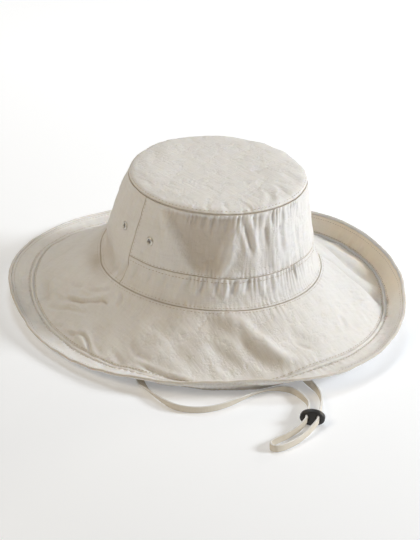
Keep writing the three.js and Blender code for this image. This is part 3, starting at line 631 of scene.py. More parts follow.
def fine_relief(along, azimuth):
    """Cloth relief that is too fine for the solids, in millimetres: soft waves, the roll inside the tip's
    seam, the swellings, the front's dent, the groove beside the ridge, the puckers beside the seams, and
    the creases, each a bell across a bowed line less its lips, fading with the fourth power along it."""
    arc = profile_length(along)
    relief = cloth_waves(cloth(along, azimuth))
    relief = relief * (1 - TIP_CALM * soft_step((1 - along) / TIP_CALM_REACH))
    before_tip_seam = profile_length(1) - arc
    distance, half_width, height = TIP_ROLL
    first, turn, least = TIP_ROLL_FULL
    roll = np.where(before_tip_seam >= 0, bell((before_tip_seam - distance) / half_width), 0)
    relief = relief + height * roll * (least + (1 - least) * between(((azimuth - first) % 360) / turn, 0, 1))
    for place, past, half_width, at, spread, height in SWELLINGS:
        near = bell((arc - profile_length(place) - past) / half_width)
        relief = relief + height * near * bell(apart(azimuth, at) / spread)
    hollow, lip = front_dent(along, azimuth)
    relief = relief - DENT_DEPTH * hollow + LIP_HEIGHT * lip
    from_ridge = np.abs(arc - profile_length(3))
    for distance, half_width, height in BESIDE_RIDGE:
        relief = relief + height * bell((from_ridge - distance) / half_width)
    relief = relief + puckers(along, azimuth)
    lip_share, lip_distance, lip_width = CREASE_LIPS
    for at, place, to, end, width, depth, bow in CREASES:
        azimuth_middle, place_middle = at + apart(to, at) / 2, (place + end) / 2
        ring = np.linalg.norm(cloth(np.array(place_middle), np.array(azimuth_middle))[:2])
        run = np.array([math.radians(apart(to, at)) * ring, profile_length(end) - profile_length(place)])
        length = np.linalg.norm(run)
        run = run / length
        x = np.radians(apart(azimuth, azimuth_middle)) * ring
        y = arc - profile_length(place_middle)
        forward = (x * run[0] + y * run[1]) * 2 / length
        across = (y * run[0] - x * run[1] - bow * (1 - forward ** 2)) / width
        groove = bell(across) - lip_share * bell((np.abs(across) - lip_distance) / lip_width)
        relief = relief - depth * groove * np.exp(-np.minimum(forward ** 4, 50))
    return relief


# Meshes

# Middle of the head opening in the row's frame, in metres. main() finds it.
HEAD = None


def to_row(points):
    """Points in millimetres from the middle of the head opening, as metres in the row's frame."""
    return np.asarray(points) * MM + HEAD


def head_place():
    """Middle of the head opening in the row's frame, from where the frame's crown tip lies."""
    low, high = (np.array(corner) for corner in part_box("crown_tip"))
    top = (size("side_height") + size("tip_rise") + size("crown_wall") / 2) * MM
    middle = (low + high) / 2
    return np.array([middle[0], middle[1] + size("tip_forward") * MM, high[2] - top])


def make_piece(name, points, quads, triangles, uv, marks, material, nodes):
    """A mesh object from points, quads and triangles, with corner UVs in metres and marks, which hold a
    value for each point by name, riding on the hat's one body in place of some nodes of the frame. Points
    below the floor gap are raised to it, as cloth is pressed flat on a floor."""
    quads = np.asarray(quads, int).reshape(-1, 4)
    triangles = np.asarray(triangles, int).reshape(-1, 3)
    corners = np.concatenate([quads.ravel(), triangles.ravel()])
    used, corners = np.unique(corners, return_inverse=True)
    totals = np.concatenate([np.full(len(quads), 4), np.full(len(triangles), 3)])
    if not len(totals):
        raise ValueError(f"{name} has no faces")
    mesh = bpy.data.meshes.new(name)
    mesh.vertices.add(len(used))
    places = to_row(points)[used]
    places[:, 2] = np.maximum(places[:, 2], size("floor_gap") * MM)
    mesh.vertices.foreach_set("co", places.astype(np.float32).ravel())
    mesh.loops.add(len(corners))
    mesh.loops.foreach_set("vertex_index", corners.astype(np.int32).ravel())
    mesh.polygons.add(len(totals))
    mesh.polygons.foreach_set("loop_start", np.concatenate([[0], np.cumsum(totals)[:-1]]).astype(np.int32))
    mesh.update(calc_edges=True)
    if uv is not None:
        layer = mesh.uv_layers.new(name="cut")
        layer.data.foreach_set("uv", np.asarray(uv, np.float32).ravel())
    for mark, values in marks.items():
        attribute = mesh.attributes.new(mark, "FLOAT", "POINT")
        attribute.data.foreach_set("value", np.asarray(values, np.float32)[used])
    mesh.validate()
    mesh.shade_smooth()
    piece = bpy.data.objects.new(name, mesh)
    bpy.context.scene.collection.objects.link(piece)
    mesh.materials.append(material)
    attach(piece, "root")
    if nodes:
        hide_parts(*nodes)
    return piece


def rows_between(start, end, spacing=1.5):
    """Places along the profile from one to another: close together at both ends, even between."""
    near = np.array([0, 0.06, 0.16, 0.3, 0.5, 0.8, 1.2, 1.8])
    first = start + near / stretch_length(np.array([start + 1e-4]))[0]
    last = end - near[::-1] / stretch_length(np.array([end - 1e-4]))[0]
    middle_length = (last[0] - first[-1]) * stretch_length(np.array([(start + end) / 2]))[0]
    middle = np.linspace(first[-1], last[0], max(3, int(middle_length / spacing)))
    return np.concatenate([first[:-1], middle, last[1:]])


def columns_between(first, last, spacing=0.5):
    """Azimuths from one to another: all round without a repeat, or close together at both ends."""
    if last - first >= 360:
        return np.arange(first, first + 360 - 1e-6, spacing)
    near = np.array([0, 0.09, 0.24, 0.45, 0.8])
    middle = np.linspace(first + 1.2, last - 1.2, int((last - first) / spacing))
    return np.concatenate([first + near, middle, last - near[::-1]])


def edge_round(distance, radius):
    """Share of full thickness at a distance from an edge: a quarter circle."""
    return np.sqrt(np.maximum(0, 1 - (1 - np.clip(distance / radius, 0, 1)) ** 2))


# Distance in millimetres that stands for no edge near, the radius of the cloth's edges as a share of its
# thickness, and the swelling inside an edge: distance from it, half width and height in millimetres.
FAR = 99.0
EDGE_RADIUS = 0.36
EDGE_SWELLING = (1.8, 1.3, 0.2)


def cloth_piece(name, nodes, start, end, first, last, wall, cut, holes=(), spacing=1.5, turn=0.5):
    """A stretch of the cloth as a closed wall: an upper and a lower grid of the same rows and columns that
    meet in rounded edges. cut says how the cloth's pattern lies: "level" is seen from above, "round" runs
    with the hat. Holes are gaps in the grid, lined, each an azimuth, a place and a radius; a stretch that
    goes all round has none."""
    closed = last - first >= 360
    pole = start <= 0
    places = rows_between(max(start, 0), end, spacing)
    azimuths = columns_between(first, last, turn)
    rows, columns = len(places), len(azimuths)
    along, azimuth = np.meshgrid(places, azimuths, indexing="ij")
    middle = cloth(along, azimuth)
    normal = cloth_normal(along, azimuth)
    lengths = stretch_length(np.clip(along, start + 1e-4, end - 1e-4))
    from_end = (end - along) * lengths
    from_start = np.full_like(from_end, FAR) if pole else (along - start) * lengths
    radius = wall * EDGE_RADIUS
    thick = edge_round(from_end, radius) * edge_round(from_start, radius)
    to_side = np.full_like(along, FAR)
    if not closed:
        near = np.linalg.norm(middle[..., :2], axis=-1)
        to_side = np.radians(np.minimum(azimuth - first, last - azimuth)) * near
        thick = thick * edge_round(to_side, radius)
    relief = fine_relief(along, azimuth)
    edge = np.minimum(np.minimum(from_end, from_start), to_side)
    distance, half_width, height = EDGE_SWELLING
    swell = height * bell((edge - distance) / half_width)
    half = wall / 2 * thick
    upper = middle + normal * (half + relief + swell * thick)[..., None]
    lower = middle + normal * (relief - half)[..., None]
    points = np.concatenate([upper.reshape(-1, 3), lower.reshape(-1, 3)])

    index = np.arange(rows * columns).reshape(rows, columns)
    if pole:
        index[0, :] = index[0, 0]
    under = index + rows * columns
    under[-1, :] = index[-1, :]
    if not pole:
        under[0, :] = index[0, :]
    if not closed:
        under[:, 0] = index[:, 0]
        under[:, -1] = index[:, -1]

    if cut == "level":
        sheet = middle[..., :2] * MM
    else:
        ring = np.linalg.norm(cloth(np.array((start + end) / 2), np.array(first))[:2])
        sheet = np.stack([np.radians(azimuth) * ring * MM, along * lengths * MM], -1)
    if closed:
        index = np.concatenate([index, index[:, :1]], 1)
        under = np.concatenate([under, under[:, :1]], 1)
        wrapped = sheet[:, :1].copy()
        if cut != "level":
            wrapped[..., 0] += 2 * math.pi * ring * MM
        sheet = np.concatenate([sheet, wrapped], 1)

    def corners(grid, flip):
        """The grid's four values at the corners of each quad, in turning order"""
        order = [grid[:-1, :-1], grid[1:, :-1], grid[1:, 1:], grid[:-1, 1:]]
        return np.stack(order[::-1] if flip else order, 2)

    keep = np.ones((rows - 1, index.shape[1] - 1), bool)
    quad_middle = (middle[:-1, :-1] + middle[1:, 1:]) / 2
    for at, place, hole_radius in holes:
        centre = cloth(np.array(place), np.array(float(at)))
        keep &= np.linalg.norm(quad_middle - centre, axis=-1) > hole_radius
    top = corners(index, False)[keep]
    top_uv = corners(sheet, False)[keep]
    base = corners(under, True)[keep]
    base_uv = corners(sheet, True)[keep]
    lining, lining_uv = hole_lining(index, under, sheet, keep)

    quads = np.concatenate([top, base, lining])
    uv = np.concatenate([top_uv, base_uv, lining_uv])
    point = (quads[:, 0] == quads[:, 3]) | (quads[:, 0] == quads[:, 1])
    point |= (quads[:, 1] == quads[:, 2]) | (quads[:, 2] == quads[:, 3])
    triangles, triangle_uv = pole_triangles(quads[point], uv[point])
    quads, uv = quads[~point], uv[~point]
    corner_uv = np.concatenate([uv.reshape(-1, 2), triangle_uv.reshape(-1, 2)])

    # Painted shade, and the painted warm glow and shade, carried as marks on the points.
    shade = painted_cloth_shade(along, azimuth, edge, relief).ravel()
    painted_warm_glow_and_shade = painted_warm_share(along, azimuth).ravel()
    marks = {"shade": np.concatenate([shade, shade]), "painted_warm_glow_and_shade": np.concatenate([painted_warm_glow_and_shade, painted_warm_glow_and_shade])}
    return make_piece(name, points, quads, triangles, corner_uv, marks, cloth_material(),
                      nodes)


# Painted shade of the cloth, from 0 to 1: a darker tone that stands for the shade in seams, beside the ridge,
# in hollows, in the dent, in the puckers and at the pressed-in foot, with its reaches in millimetres. In a
# seam:
# share, start and reach from the edge. Beside the ridge: share and reach. In a hollow: share and the depth at
# which it is full. In the dent: share. In the puckers of the crown's front: share, the depth at which one is
# full, the share of it where the shade starts, and the azimuth and half width of the front in degrees. At the
# pressed-in foot: share, distance past the seam and reach, azimuth and half width.
SEAM_SHADE = (0.9, 0.15, 0.16)
RIDGE_SHADE = (0.45, 2.5)
HOLLOW_SHADE = (0.24, 2.6)
DENT_SHADE = 0.31
PUCKER_SHADE = (0.5, 0.5, 0.15, 236, 42)
FOOT_SHADE = (0.45, 3, 4.5, 146, 9)


def painted_cloth_shade(along, azimuth, edge, relief):
    """Share of painted shade on the cloth: it dies away from a seam's edge, is a bell beside the ridge, and
    grows with the depth of a hollow, of the front's dent, of the front's puckers and of the foot."""
    arc = profile_length(along)
    share, begin, reach = SEAM_SHADE
    shade = share * np.exp(-np.maximum(edge - begin, 0) / reach)
    share, reach = RIDGE_SHADE
    shade = np.maximum(shade, share * bell((arc - profile_length(3)) / reach))
    share, full = HOLLOW_SHADE
    shade = shade + share * np.clip(-relief / full, 0, 1) + DENT_SHADE * front_dent(along, azimuth)[0]
    share, full, begin, at, spread = PUCKER_SHADE
    front = bell(apart(azimuth, at) / spread) * (along > 0.9) * (along < 2)
    shade = shade + share * front * np.clip(-puckers(along, azimuth) / full - begin, 0, 1)
    share, past, reach, at, spread = FOOT_SHADE
    from_foot = arc - profile_length(2)
    shade = shade + share * bell((from_foot - past) / reach) * bell(apart(azimuth, at) / spread)
    return np.clip(shade, 0, 1)


def hole_lining(index, under, sheet, keep):
    """Quads that join the upper and lower grid round each gap, one for each edge between a kept and a
    missing quad."""
    rows, columns = keep.shape
    faces, uvs = [], []
    for r, c in zip(*np.nonzero(~keep)):
        edges = (((r, c), (r, c + 1), (r - 1, c)), ((r + 1, c + 1), (r + 1, c), (r + 1, c)),
                 ((r + 1, c), (r, c), (r, c - 1)), ((r, c + 1), (r + 1, c + 1), (r, c + 1)))
        for a, b, beside in edges:
            if 0 <= beside[0] < rows and 0 <= beside[1] < columns and keep[beside]:
                faces.append((index[a], index[b], under[b], under[a]))
                uvs.append((sheet[a], sheet[b], sheet[b], sheet[a]))
    return np.array(faces, int).reshape(-1, 4), np.array(uvs, float).reshape(-1, 4, 2)


def pole_triangles(quads, uv):
    """Triangles from quads of which two neighbouring corners are one point."""
    triangles, corners = [], []
    for quad, corner in zip(quads.tolist(), uv.tolist()):
        keep = [i for i in range(4) if quad[i] != quad[i - 1]]
        if len(keep) == 3:
            triangles.append([quad[i] for i in keep])
            corners.append([corner[i] for i in keep])
    return np.array(triangles, int).reshape(-1, 3), np.array(corners, float).reshape(-1, 3, 2)


# Unevenness of a roll's section as a share: of the noise and of the regular bulges between its stitches.
ROLL_UNEVEN = (0.05, 0.05)
# Painted shade along a roll's sides, where it meets the cloth: share, and reach in the sine of the section's
# angle.
ROLL_SHADE = (0.6, 0.55)


def ring_piece(name, nodes, place, half_width, half_thickness, sides, flutes, seed):
    """A closed roll round the hat: an oval section lying along the cloth at one place of the profile, with
    soft uneven bulges where its stitches draw it in."""
    azimuths = columns_between(0, 360)
    turn = np.arange(sides) * 2 * math.pi / sides
    angle, azimuth = np.meshgrid(turn, azimuths, indexing="ij")
    along = np.full_like(azimuth, place)
    up = cloth_normal(along, azimuth)
    over = outward(azimuth)
    over = over - up * np.sum(over * up, -1, keepdims=True)
    over /= np.linalg.norm(over, axis=-1, keepdims=True)
    middle = cloth(along, azimuth)
    noise, fluting = ROLL_UNEVEN
    bulge = 1 + noise * waves(middle, seed, 10, 4, 11) + fluting * np.sin(np.radians(azimuth) * flutes)
    relief = cloth_waves(middle)
    points = middle + over * (half_width * np.cos(angle) * bulge)[..., None]
    points = points + up * (half_thickness * np.sin(angle) * bulge + relief)[..., None]
    index = np.arange(points[..., 0].size).reshape(sides, -1)
    index = np.concatenate([index, index[:, :1]], 1)
    index = np.concatenate([index, index[:1]], 0)
    ring = np.linalg.norm(middle[0, 0, :2])
    u = np.radians(np.append(azimuths, 360.0)) * ring * MM
    v = np.arange(sides + 1) * (half_width + half_thickness) * math.pi / sides * MM
    sheet = np.stack(np.meshgrid(u, v, indexing="xy"), -1)
    quads = np.stack([index[:-1, :-1], index[:-1, 1:], index[1:, 1:], index[1:, :-1]], 2).reshape(-1, 4)
    uv = np.stack([sheet[:-1, :-1], sheet[:-1, 1:], sheet[1:, 1:], sheet[1:, :-1]], 2)
    share, reach = ROLL_SHADE
    shade = share * bell(np.sin(angle) / reach)
    return make_piece(name, points.reshape(-1, 3), quads, [], uv.reshape(-1, 2), {"shade": shade.ravel()},
                      cloth_material(), nodes)


# A stitch: sides and rings of its mesh, and in thread radii the height of its middle above the cloth and
# the depth by which its ends are drawn in.
STITCH_SIDES, STITCH_RINGS = 6, 7
STITCH_STAND, STITCH_SINK = 0.35, 0.9


def stitch_row(places, azimuths, lift, heading="round"):
    """Stitches as short capsules on the cloth: each lies along its row, its middle a little above the
    cloth's upper side and its ends drawn in with the square of the distance from the middle."""
    sides, rings = STITCH_SIDES, STITCH_RINGS
    t = np.linspace(-1, 1, rings)
    half = size("stitch_length") / 2
    thread = size("thread_radius")
    swell = np.sqrt(np.maximum(1 - t ** 4, 0.02))
    angle = np.arange(sides) * 2 * math.pi / sides
    normal = cloth_normal(places, azimuths)
    middle = cloth(places, azimuths) + normal * (lift + fine_relief(places, azimuths))[:, None]
    if heading == "round":
        ahead = cloth(places, azimuths + 0.4) - cloth(places, azimuths - 0.4)
    else:
        ahead = cloth(places + 0.01, azimuths) - cloth(places - 0.01, azimuths)
    ahead /= np.linalg.norm(ahead, axis=-1, keepdims=True)
    side = np.cross(normal, ahead)
    sink = -STITCH_SINK * thread * t ** 2
    core = (middle[:, None] + ahead[:, None] * (t * half)[None, :, None]
            + normal[:, None] * (sink + STITCH_STAND * thread)[None, :, None])
    ring = (side[:, None, None] * np.cos(angle)[None, None, :, None]
            + normal[:, None, None] * np.sin(angle)[None, None, :, None])
    points = core[:, :, None] + ring * (thread * swell)[None, :, None, None]
    index = np.arange(rings * sides).reshape(rings, sides)
    after = np.roll(index, -1, 1)
    quads = np.stack([index[:-1], index[1:], after[1:], after[:-1]], 2).reshape(-1, 4)
    caps = [[index[0, 0], index[0, k], index[0, k + 1]] for k in range(1, sides - 1)]
    caps += [[index[-1, 0], index[-1, k + 1], index[-1, k]] for k in range(1, sides - 1)]
    offset = np.arange(len(middle))[:, None, None] * (rings * sides)
    quads = (quads[None] + offset).reshape(-1, 4)
    triangles = (np.array(caps)[None] + offset).reshape(-1, 3)
    return points.reshape(-1, 3), quads, triangles


def stitch_piece(name, seams):
    """All the stitches of some seams joined in one mesh. A seam is "round" at a place, from its first to
    its last azimuth, or "down" at an azimuth, from its first to its last place, on cloth of its wall."""
    all_points, all_quads, all_triangles = [], [], []
    count = 0
    for kind, where, first, last, wall in seams:
        if kind == "round":
            ring = np.linalg.norm(cloth(np.array(where), np.array([first, first + 60, first + 120.0]))[:, :2],
                                  axis=-1).mean()
            number = int(math.radians(last - first) * ring / size("stitch_pitch"))
            azimuths = first + (np.arange(number) + 0.5) * (last - first) / number
            places = np.full(number, float(where))
        else:
            number = int((last - first) * stretch_length(np.array([first]))[0] / size("stitch_pitch"))
            places = first + (np.arange(number) + 0.5) * (last - first) / number
            azimuths = np.full(number, float(where))
        points, quads, triangles = stitch_row(places, azimuths, wall / 2, kind)
        all_points.append(points)
        all_quads.append(quads + count)
        all_triangles.append(triangles + count)
        count += len(points)
    points = np.concatenate(all_points)
    quads = np.concatenate(all_quads)
    triangles = np.concatenate(all_triangles)
    return make_piece(name, points, quads, triangles, None, {}, thread_material(), ())


# Materials

def new_material(name, roughness, metallic=0.0, sheen=0.0, specular=0.5):
    """A material with one Principled shader, its uniform values set on the shader's own sockets."""
    material = bpy.data.materials.new(name)
    material.use_nodes = True
    shader = material.node_tree.nodes["Principled BSDF"]
    shader.inputs["Roughness"].default_value = roughness
    shader.inputs["Metallic"].default_value = metallic
    shader.inputs["Specular IOR Level"].default_value = specular
    shader.inputs["Sheen Weight"].default_value = sheen
    shader.inputs["Sheen Roughness"].default_value = 0.5
    return material, material.node_tree, shader


def node(tree, kind, **values):
    """A node with some of its properties and inputs set."""
    made = tree.nodes.new(kind)
    for key, value in values.items():
        if key in made.inputs:
            made.inputs[key].default_value = value
        else:
            setattr(made, key, value)
    return made


def mix_colour(tree, share, first, second, blend="MIX"):
    """Two colours mixed by a share; each may be a socket or a plain colour."""
    mixer = tree.nodes.new("ShaderNodeMix")
    mixer.data_type = "RGBA"
    mixer.blend_type = blend
    for socket, value in zip((mixer.inputs[0], mixer.inputs[6], mixer.inputs[7]), (share, first, second)):
        if isinstance(value, bpy.types.NodeSocket):
            tree.links.new(value, socket)
        else:
            socket.default_value = value
    return mixer.outputs[2]


def arithmetic(tree, operation, first, second=None):
    """One Math node of two values, each a socket or a number."""
    made = tree.nodes.new("ShaderNodeMath")
    made.operation = operation
    for socket, value in zip(made.inputs, (first, second)):
        if isinstance(value, bpy.types.NodeSocket):
            tree.links.new(value, socket)
        elif value is not None:
            socket.default_value = value
    return made.outputs[0]


def stretched_noise(tree, coordinates, scale, detail=2.0, roughness=0.5):
    """Noise whose pattern is drawn out along one way of the coordinates, by a scale for each of them."""
    mapping = node(tree, "ShaderNodeMapping")
    mapping.inputs["Scale"].default_value = scale
    tree.links.new(coordinates, mapping.inputs["Vector"])
    noise = node(tree, "ShaderNodeTexNoise", Scale=1.0, Detail=detail, Roughness=roughness)
    tree.links.new(mapping.outputs["Vector"], noise.inputs["Vector"])
    return noise.outputs["Fac"]


def weave(tree, coordinates, pitch):
    """A plain weave's height: two sines across each other, one thread over and one under."""
    parts = node(tree, "ShaderNodeSeparateXYZ")
    tree.links.new(coordinates, parts.inputs[0])
    turns = 2 * math.pi / pitch
    across = arithmetic(tree, "SINE", arithmetic(tree, "MULTIPLY", parts.outputs[0], turns))
    down = arithmetic(tree, "SINE", arithmetic(tree, "MULTIPLY", parts.outputs[1], turns))
    return arithmetic(tree, "MULTIPLY", across, down)


# Share of the darker tone in the slubs, of the seam's tone in full painted shade, and of the yellow tone in
# full painted warm glow and shade.
SLUB_TONE, SHADE_TONE, PAINTED_WARM_TONE = 0.55, 0.85, 0.8

# The weave's pitch in metres, and the parts of the relief: weave and threads in the fine one, sharp folds
# and streaks in the rumpled one.
WEAVE_PITCH = 0.00085
WEAVE_PART, THREAD_PART = 0.35, 1.1
FOLD_PART, STREAK_PART = -1.2, 0.26


def cloth_material():
    """Natural cotton canvas: threads that vary in thickness and tone, a plain weave and fine rumples in
    relief, painted shade in seams and hollows, a painted warm glow and warm shade at the right back of the
    brim, and a soft sheen."""
    material = bpy.data.materials.get("natural_cotton")
    if material:
        return material
    material, tree, shader = new_material("natural_cotton", 0.88, sheen=0.12, specular=0.18)
    shader.inputs["Subsurface Weight"].default_value = 0.22
    shader.inputs["Subsurface Radius"].default_value = (1.0, 0.74, 0.42)
    shader.inputs["Subsurface Scale"].default_value = 0.0022
    uv = node(tree, "ShaderNodeUVMap", uv_map="cut").outputs["UV"]
    place = node(tree, "ShaderNodeTexCoord").outputs["Object"]
    warp = stretched_noise(tree, uv, (1900, 110, 1), 3.0, 0.6)
    weft = stretched_noise(tree, uv, (120, 1900, 1), 3.0, 0.6)
    threads = arithmetic(tree, "MULTIPLY", arithmetic(tree, "ADD", warp, weft), 0.5)
    streaks = arithmetic(tree, "ADD", stretched_noise(tree, uv, (560, 34, 1), 3.0, 0.6),
                         stretched_noise(tree, uv, (30, 480, 1), 3.0, 0.6))
    blotch = stretched_noise(tree, place, (26, 26, 26), 4.0, 0.55)

    slub_share = node(tree, "ShaderNodeMapRange", **{"From Min": 0.42, "From Max": 0.68})
    tree.links.new(threads, slub_share.inputs["Value"])
    tone = mix_colour(tree, arithmetic(tree, "MULTIPLY", slub_share.outputs[0], SLUB_TONE),
                      colour("cloth"), colour("slub"))
    blotch_share = node(tree, "ShaderNodeMapRange", **{"From Min": 0.35, "From Max": 0.75, "To Max": 0.22})
    tree.links.new(blotch, blotch_share.inputs["Value"])
    tone = mix_colour(tree, blotch_share.outputs[0], tone, colour("slub"))
    streak_share = node(tree, "ShaderNodeMapRange", **{"From Min": 0.9, "From Max": 1.35, "To Max": 0.42})
    tree.links.new(streaks, streak_share.inputs["Value"])
    tone = mix_colour(tree, streak_share.outputs[0], tone, colour("slub"))
    # Painted shade: the shade mark mixes the cloth towards the seam tone.
    shade = node(tree, "ShaderNodeAttribute", attribute_name="shade").outputs["Fac"]
    tone = mix_colour(tree, arithmetic(tree, "MULTIPLY", shade, SHADE_TONE), tone, colour("seam"))
    # Painted warm glow and shade, mixed in towards the yellow tone.
    painted_warm_glow_and_shade = node(tree, "ShaderNodeAttribute", attribute_name="painted_warm_glow_and_shade").outputs["Fac"]
    tone = mix_colour(tree, arithmetic(tree, "MULTIPLY", painted_warm_glow_and_shade, PAINTED_WARM_TONE), tone, colour("painted_warm_glow_and_shade"))
    tree.links.new(tone, shader.inputs["Base Color"])

    height = arithmetic(tree, "MULTIPLY", weave(tree, uv, WEAVE_PITCH), WEAVE_PART)
    height = arithmetic(tree, "ADD", height, arithmetic(tree, "MULTIPLY", threads, THREAD_PART))
    bump = node(tree, "ShaderNodeBump", Strength=0.55, Distance=0.00022)
    tree.links.new(height, bump.inputs["Height"])
    rumple = stretched_noise(tree, place, (95, 95, 95), 5.0, 0.62)
    ridged = arithmetic(tree, "ABSOLUTE", arithmetic(tree, "SUBTRACT", rumple, 0.5))
    rumple = arithmetic(tree, "ADD", rumple, arithmetic(tree, "MULTIPLY", ridged, FOLD_PART))
    rumple = arithmetic(tree, "ADD", rumple, arithmetic(tree, "MULTIPLY", streaks, STREAK_PART))
    rumple_bump = node(tree, "ShaderNodeBump", Strength=0.5, Distance=0.0024)
    tree.links.new(rumple, rumple_bump.inputs["Height"])
    tree.links.new(rumple_bump.outputs["Normal"], bump.inputs["Normal"])
    tree.links.new(bump.outputs["Normal"], shader.inputs["Normal"])
    return material


def thread_material():
    """Sewing thread: two plies laid round each other, seen as fine slanting bands."""
    material = bpy.data.materials.get("sewing_thread")
    if material:
        return material
    material, tree, shader = new_material("sewing_thread", 0.7, sheen=0.1, specular=0.3)
    place = node(tree, "ShaderNodeTexCoord").outputs["Object"]
    ply = node(tree, "ShaderNodeTexWave", Scale=900.0, Distortion=1.5, bands_direction="DIAGONAL")
    tree.links.new(place, ply.inputs["Vector"])
    tree.links.new(mix_colour(tree, arithmetic(tree, "MULTIPLY", ply.outputs["Fac"], 0.35), colour("thread"),
                              colour("seam")), shader.inputs["Base Color"])
    bump = node(tree, "ShaderNodeBump", Strength=0.5, Distance=0.0001)
    tree.links.new(ply.outputs["Fac"], bump.inputs["Height"])
    tree.links.new(bump.outputs["Normal"], shader.inputs["Normal"])
    return material


# Pitch in metres of the tape's ribs across it and of its cords along it.
RIB_PITCH, CORD_PITCH = 0.0011, 0.0008


def tape_material():
    """Flat cotton tape: ribs across it, two lighter edges where a paler selvedge carries a painted highlight,
    and a slight unevenness of tone.
    """
    material, tree, shader = new_material("cotton_tape", 0.85, sheen=0.1, specular=0.2)
    uv = node(tree, "ShaderNodeUVMap", uv_map="cut").outputs["UV"]
    parts = node(tree, "ShaderNodeSeparateXYZ")
    tree.links.new(uv, parts.inputs[0])
    ribs = arithmetic(tree, "SINE", arithmetic(tree, "MULTIPLY", parts.outputs[0], 2 * math.pi / RIB_PITCH))
    cords = arithmetic(tree, "SINE", arithmetic(tree, "MULTIPLY", parts.outputs[1], 2 * math.pi / CORD_PITCH))
    uneven = stretched_noise(tree, uv, (240, 900, 1), 3.0, 0.6)
    tone = mix_colour(tree, arithmetic(tree, "MULTIPLY", uneven, 0.4), colour("tape"), colour("slub"))
    # Painted highlight, partly the paler selvedge: the edges are mixed towards the cloth's lighter tone.
    edge = node(tree, "ShaderNodeAttribute", attribute_name="shade").outputs["Fac"]
    tree.links.new(mix_colour(tree, edge, tone, colour("cloth")), shader.inputs["Base Color"])
    height = arithmetic(tree, "ADD", arithmetic(tree, "MULTIPLY", ribs, 0.5),
                        arithmetic(tree, "MULTIPLY", cords, 0.3))
    height = arithmetic(tree, "ADD", height, uneven)
    bump = node(tree, "ShaderNodeBump", Strength=0.6, Distance=0.0002)
    tree.links.new(height, bump.inputs["Height"])
    tree.links.new(bump.outputs["Normal"], shader.inputs["Normal"])
    return material


# Tones of rubbed nickel and of rubbed plastic.
RUBBED_METAL = (0.80, 0.78, 0.73, 1)
RUBBED_PLASTIC = (0.03, 0.03, 0.031, 1)


def metal_material():
    """Dull nickel, rubbed lighter in patches, with fine scratches."""
    material, tree, shader = new_material("dull_nickel", 0.34, metallic=1.0)
    place = node(tree, "ShaderNodeTexCoord").outputs["Object"]
    wear = stretched_noise(tree, place, (900, 900, 900), 3.0, 0.6)
    tree.links.new(mix_colour(tree, wear, colour("metal"), RUBBED_METAL), shader.inputs["Base Color"])
    rough = node(tree, "ShaderNodeMapRange", **{"To Min": 0.25, "To Max": 0.5})
    tree.links.new(wear, rough.inputs["Value"])
    tree.links.new(rough.outputs[0], shader.inputs["Roughness"])
    bump = node(tree, "ShaderNodeBump", Strength=0.2, Distance=0.00005)
    tree.links.new(wear, bump.inputs["Height"])
    tree.links.new(bump.outputs["Normal"], shader.inputs["Normal"])
    return material


def plastic_material():
    """Black moulded plastic: a fine orange-peel skin with rubbed, duller patches."""
    material, tree, shader = new_material("black_plastic", 0.4, specular=0.5)
    place = node(tree, "ShaderNodeTexCoord").outputs["Object"]
    peel = stretched_noise(tree, place, (1400, 1400, 1400), 2.0, 0.5)
    rubbed = stretched_noise(tree, place, (220, 220, 220), 3.0, 0.6)
    tree.links.new(mix_colour(tree, rubbed, colour("plastic"), RUBBED_PLASTIC), shader.inputs["Base Color"])
    rough = node(tree, "ShaderNodeMapRange", **{"To Min": 0.26, "To Max": 0.5})
    tree.links.new(rubbed, rough.inputs["Value"])
    tree.links.new(rough.outputs[0], shader.inputs["Roughness"])
    bump = node(tree, "ShaderNodeBump", Strength=0.25, Distance=0.00008)
    tree.links.new(peel, bump.inputs["Height"])
    tree.links.new(bump.outputs["Normal"], shader.inputs["Normal"])
    return material


# Operators

# Azimuths of the side seams; the eyelets' turn from them in degrees, their place on the profile, the
# radius of the hole in the cloth under one in millimetres, and its steps round.
SIDE_SEAMS = (-3.0, 177.0)
EYELET_TURN = 11.5
EYELET_ALONG = 1.425
CLOTH_HOLE = 2.4
EYELET_STEPS = 40

# Rows of stitches, in millimetres from their seam: inside the tip's, above and below the band's, above the
# foot, outside the foot, on both sides of the ridge, and inside the brim's edge.
STITCH_ROWS = {"tip": 1.5, "over_band": 1.3, "in_band": 3.4, "foot": 1.6, "brim": 2.0, "ridge": 3.4,
               "hem": 4.6}

# Rows of stitches that run down beside the side seams: degrees from them, and places on the profile from
# the tip's seam and from the band's.
SIDE_STITCH_TURN = 1.3
SIDE_STITCH_START, SIDE_STITCH_STOP = 1.02, 0.02


def share_of(millimetres, stretch):
    """A length as a share of one stretch of the profile."""
    return millimetres / stretch_length(np.array([stretch + 0.5]))[0]


def seams():
    """Where the pieces of the crown and brim meet: places on the profile."""
    gap = size("seam_gap") / 2
    return {
        "tip": (1 - share_of(gap, 0), 1 + share_of(gap, 1)),
        "band": (2 - share_of(size("band_height") + gap, 1), 2 - share_of(size("band_height") - gap, 1)),
        "head": (2 - share_of(gap, 1), 2 + share_of(gap, 2)),
        "ridge": (3 - share_of(size("ridge_radius") - size("seam_tuck"), 2),
                  3 + share_of(size("ridge_radius") - size("seam_tuck"), 3)),
        "hem": (4 - share_of(2 * size("hem_half_width") - size("seam_tuck"), 3),
                4 - share_of(size("hem_half_width"), 3)),
    }


class HAT_OT_stage(bpy.types.Operator):
    """Put in the floor, the lights and the camera"""

    bl_idname = "hat.stage"
    bl_label = "Stage"

    def execute(self, context):
        scene = context.scene
        scene.view_settings.view_transform = "Standard"
        stage_floor()
        stage_camera(scene)
        stage_lights(scene)
        return {"FINISHED"}


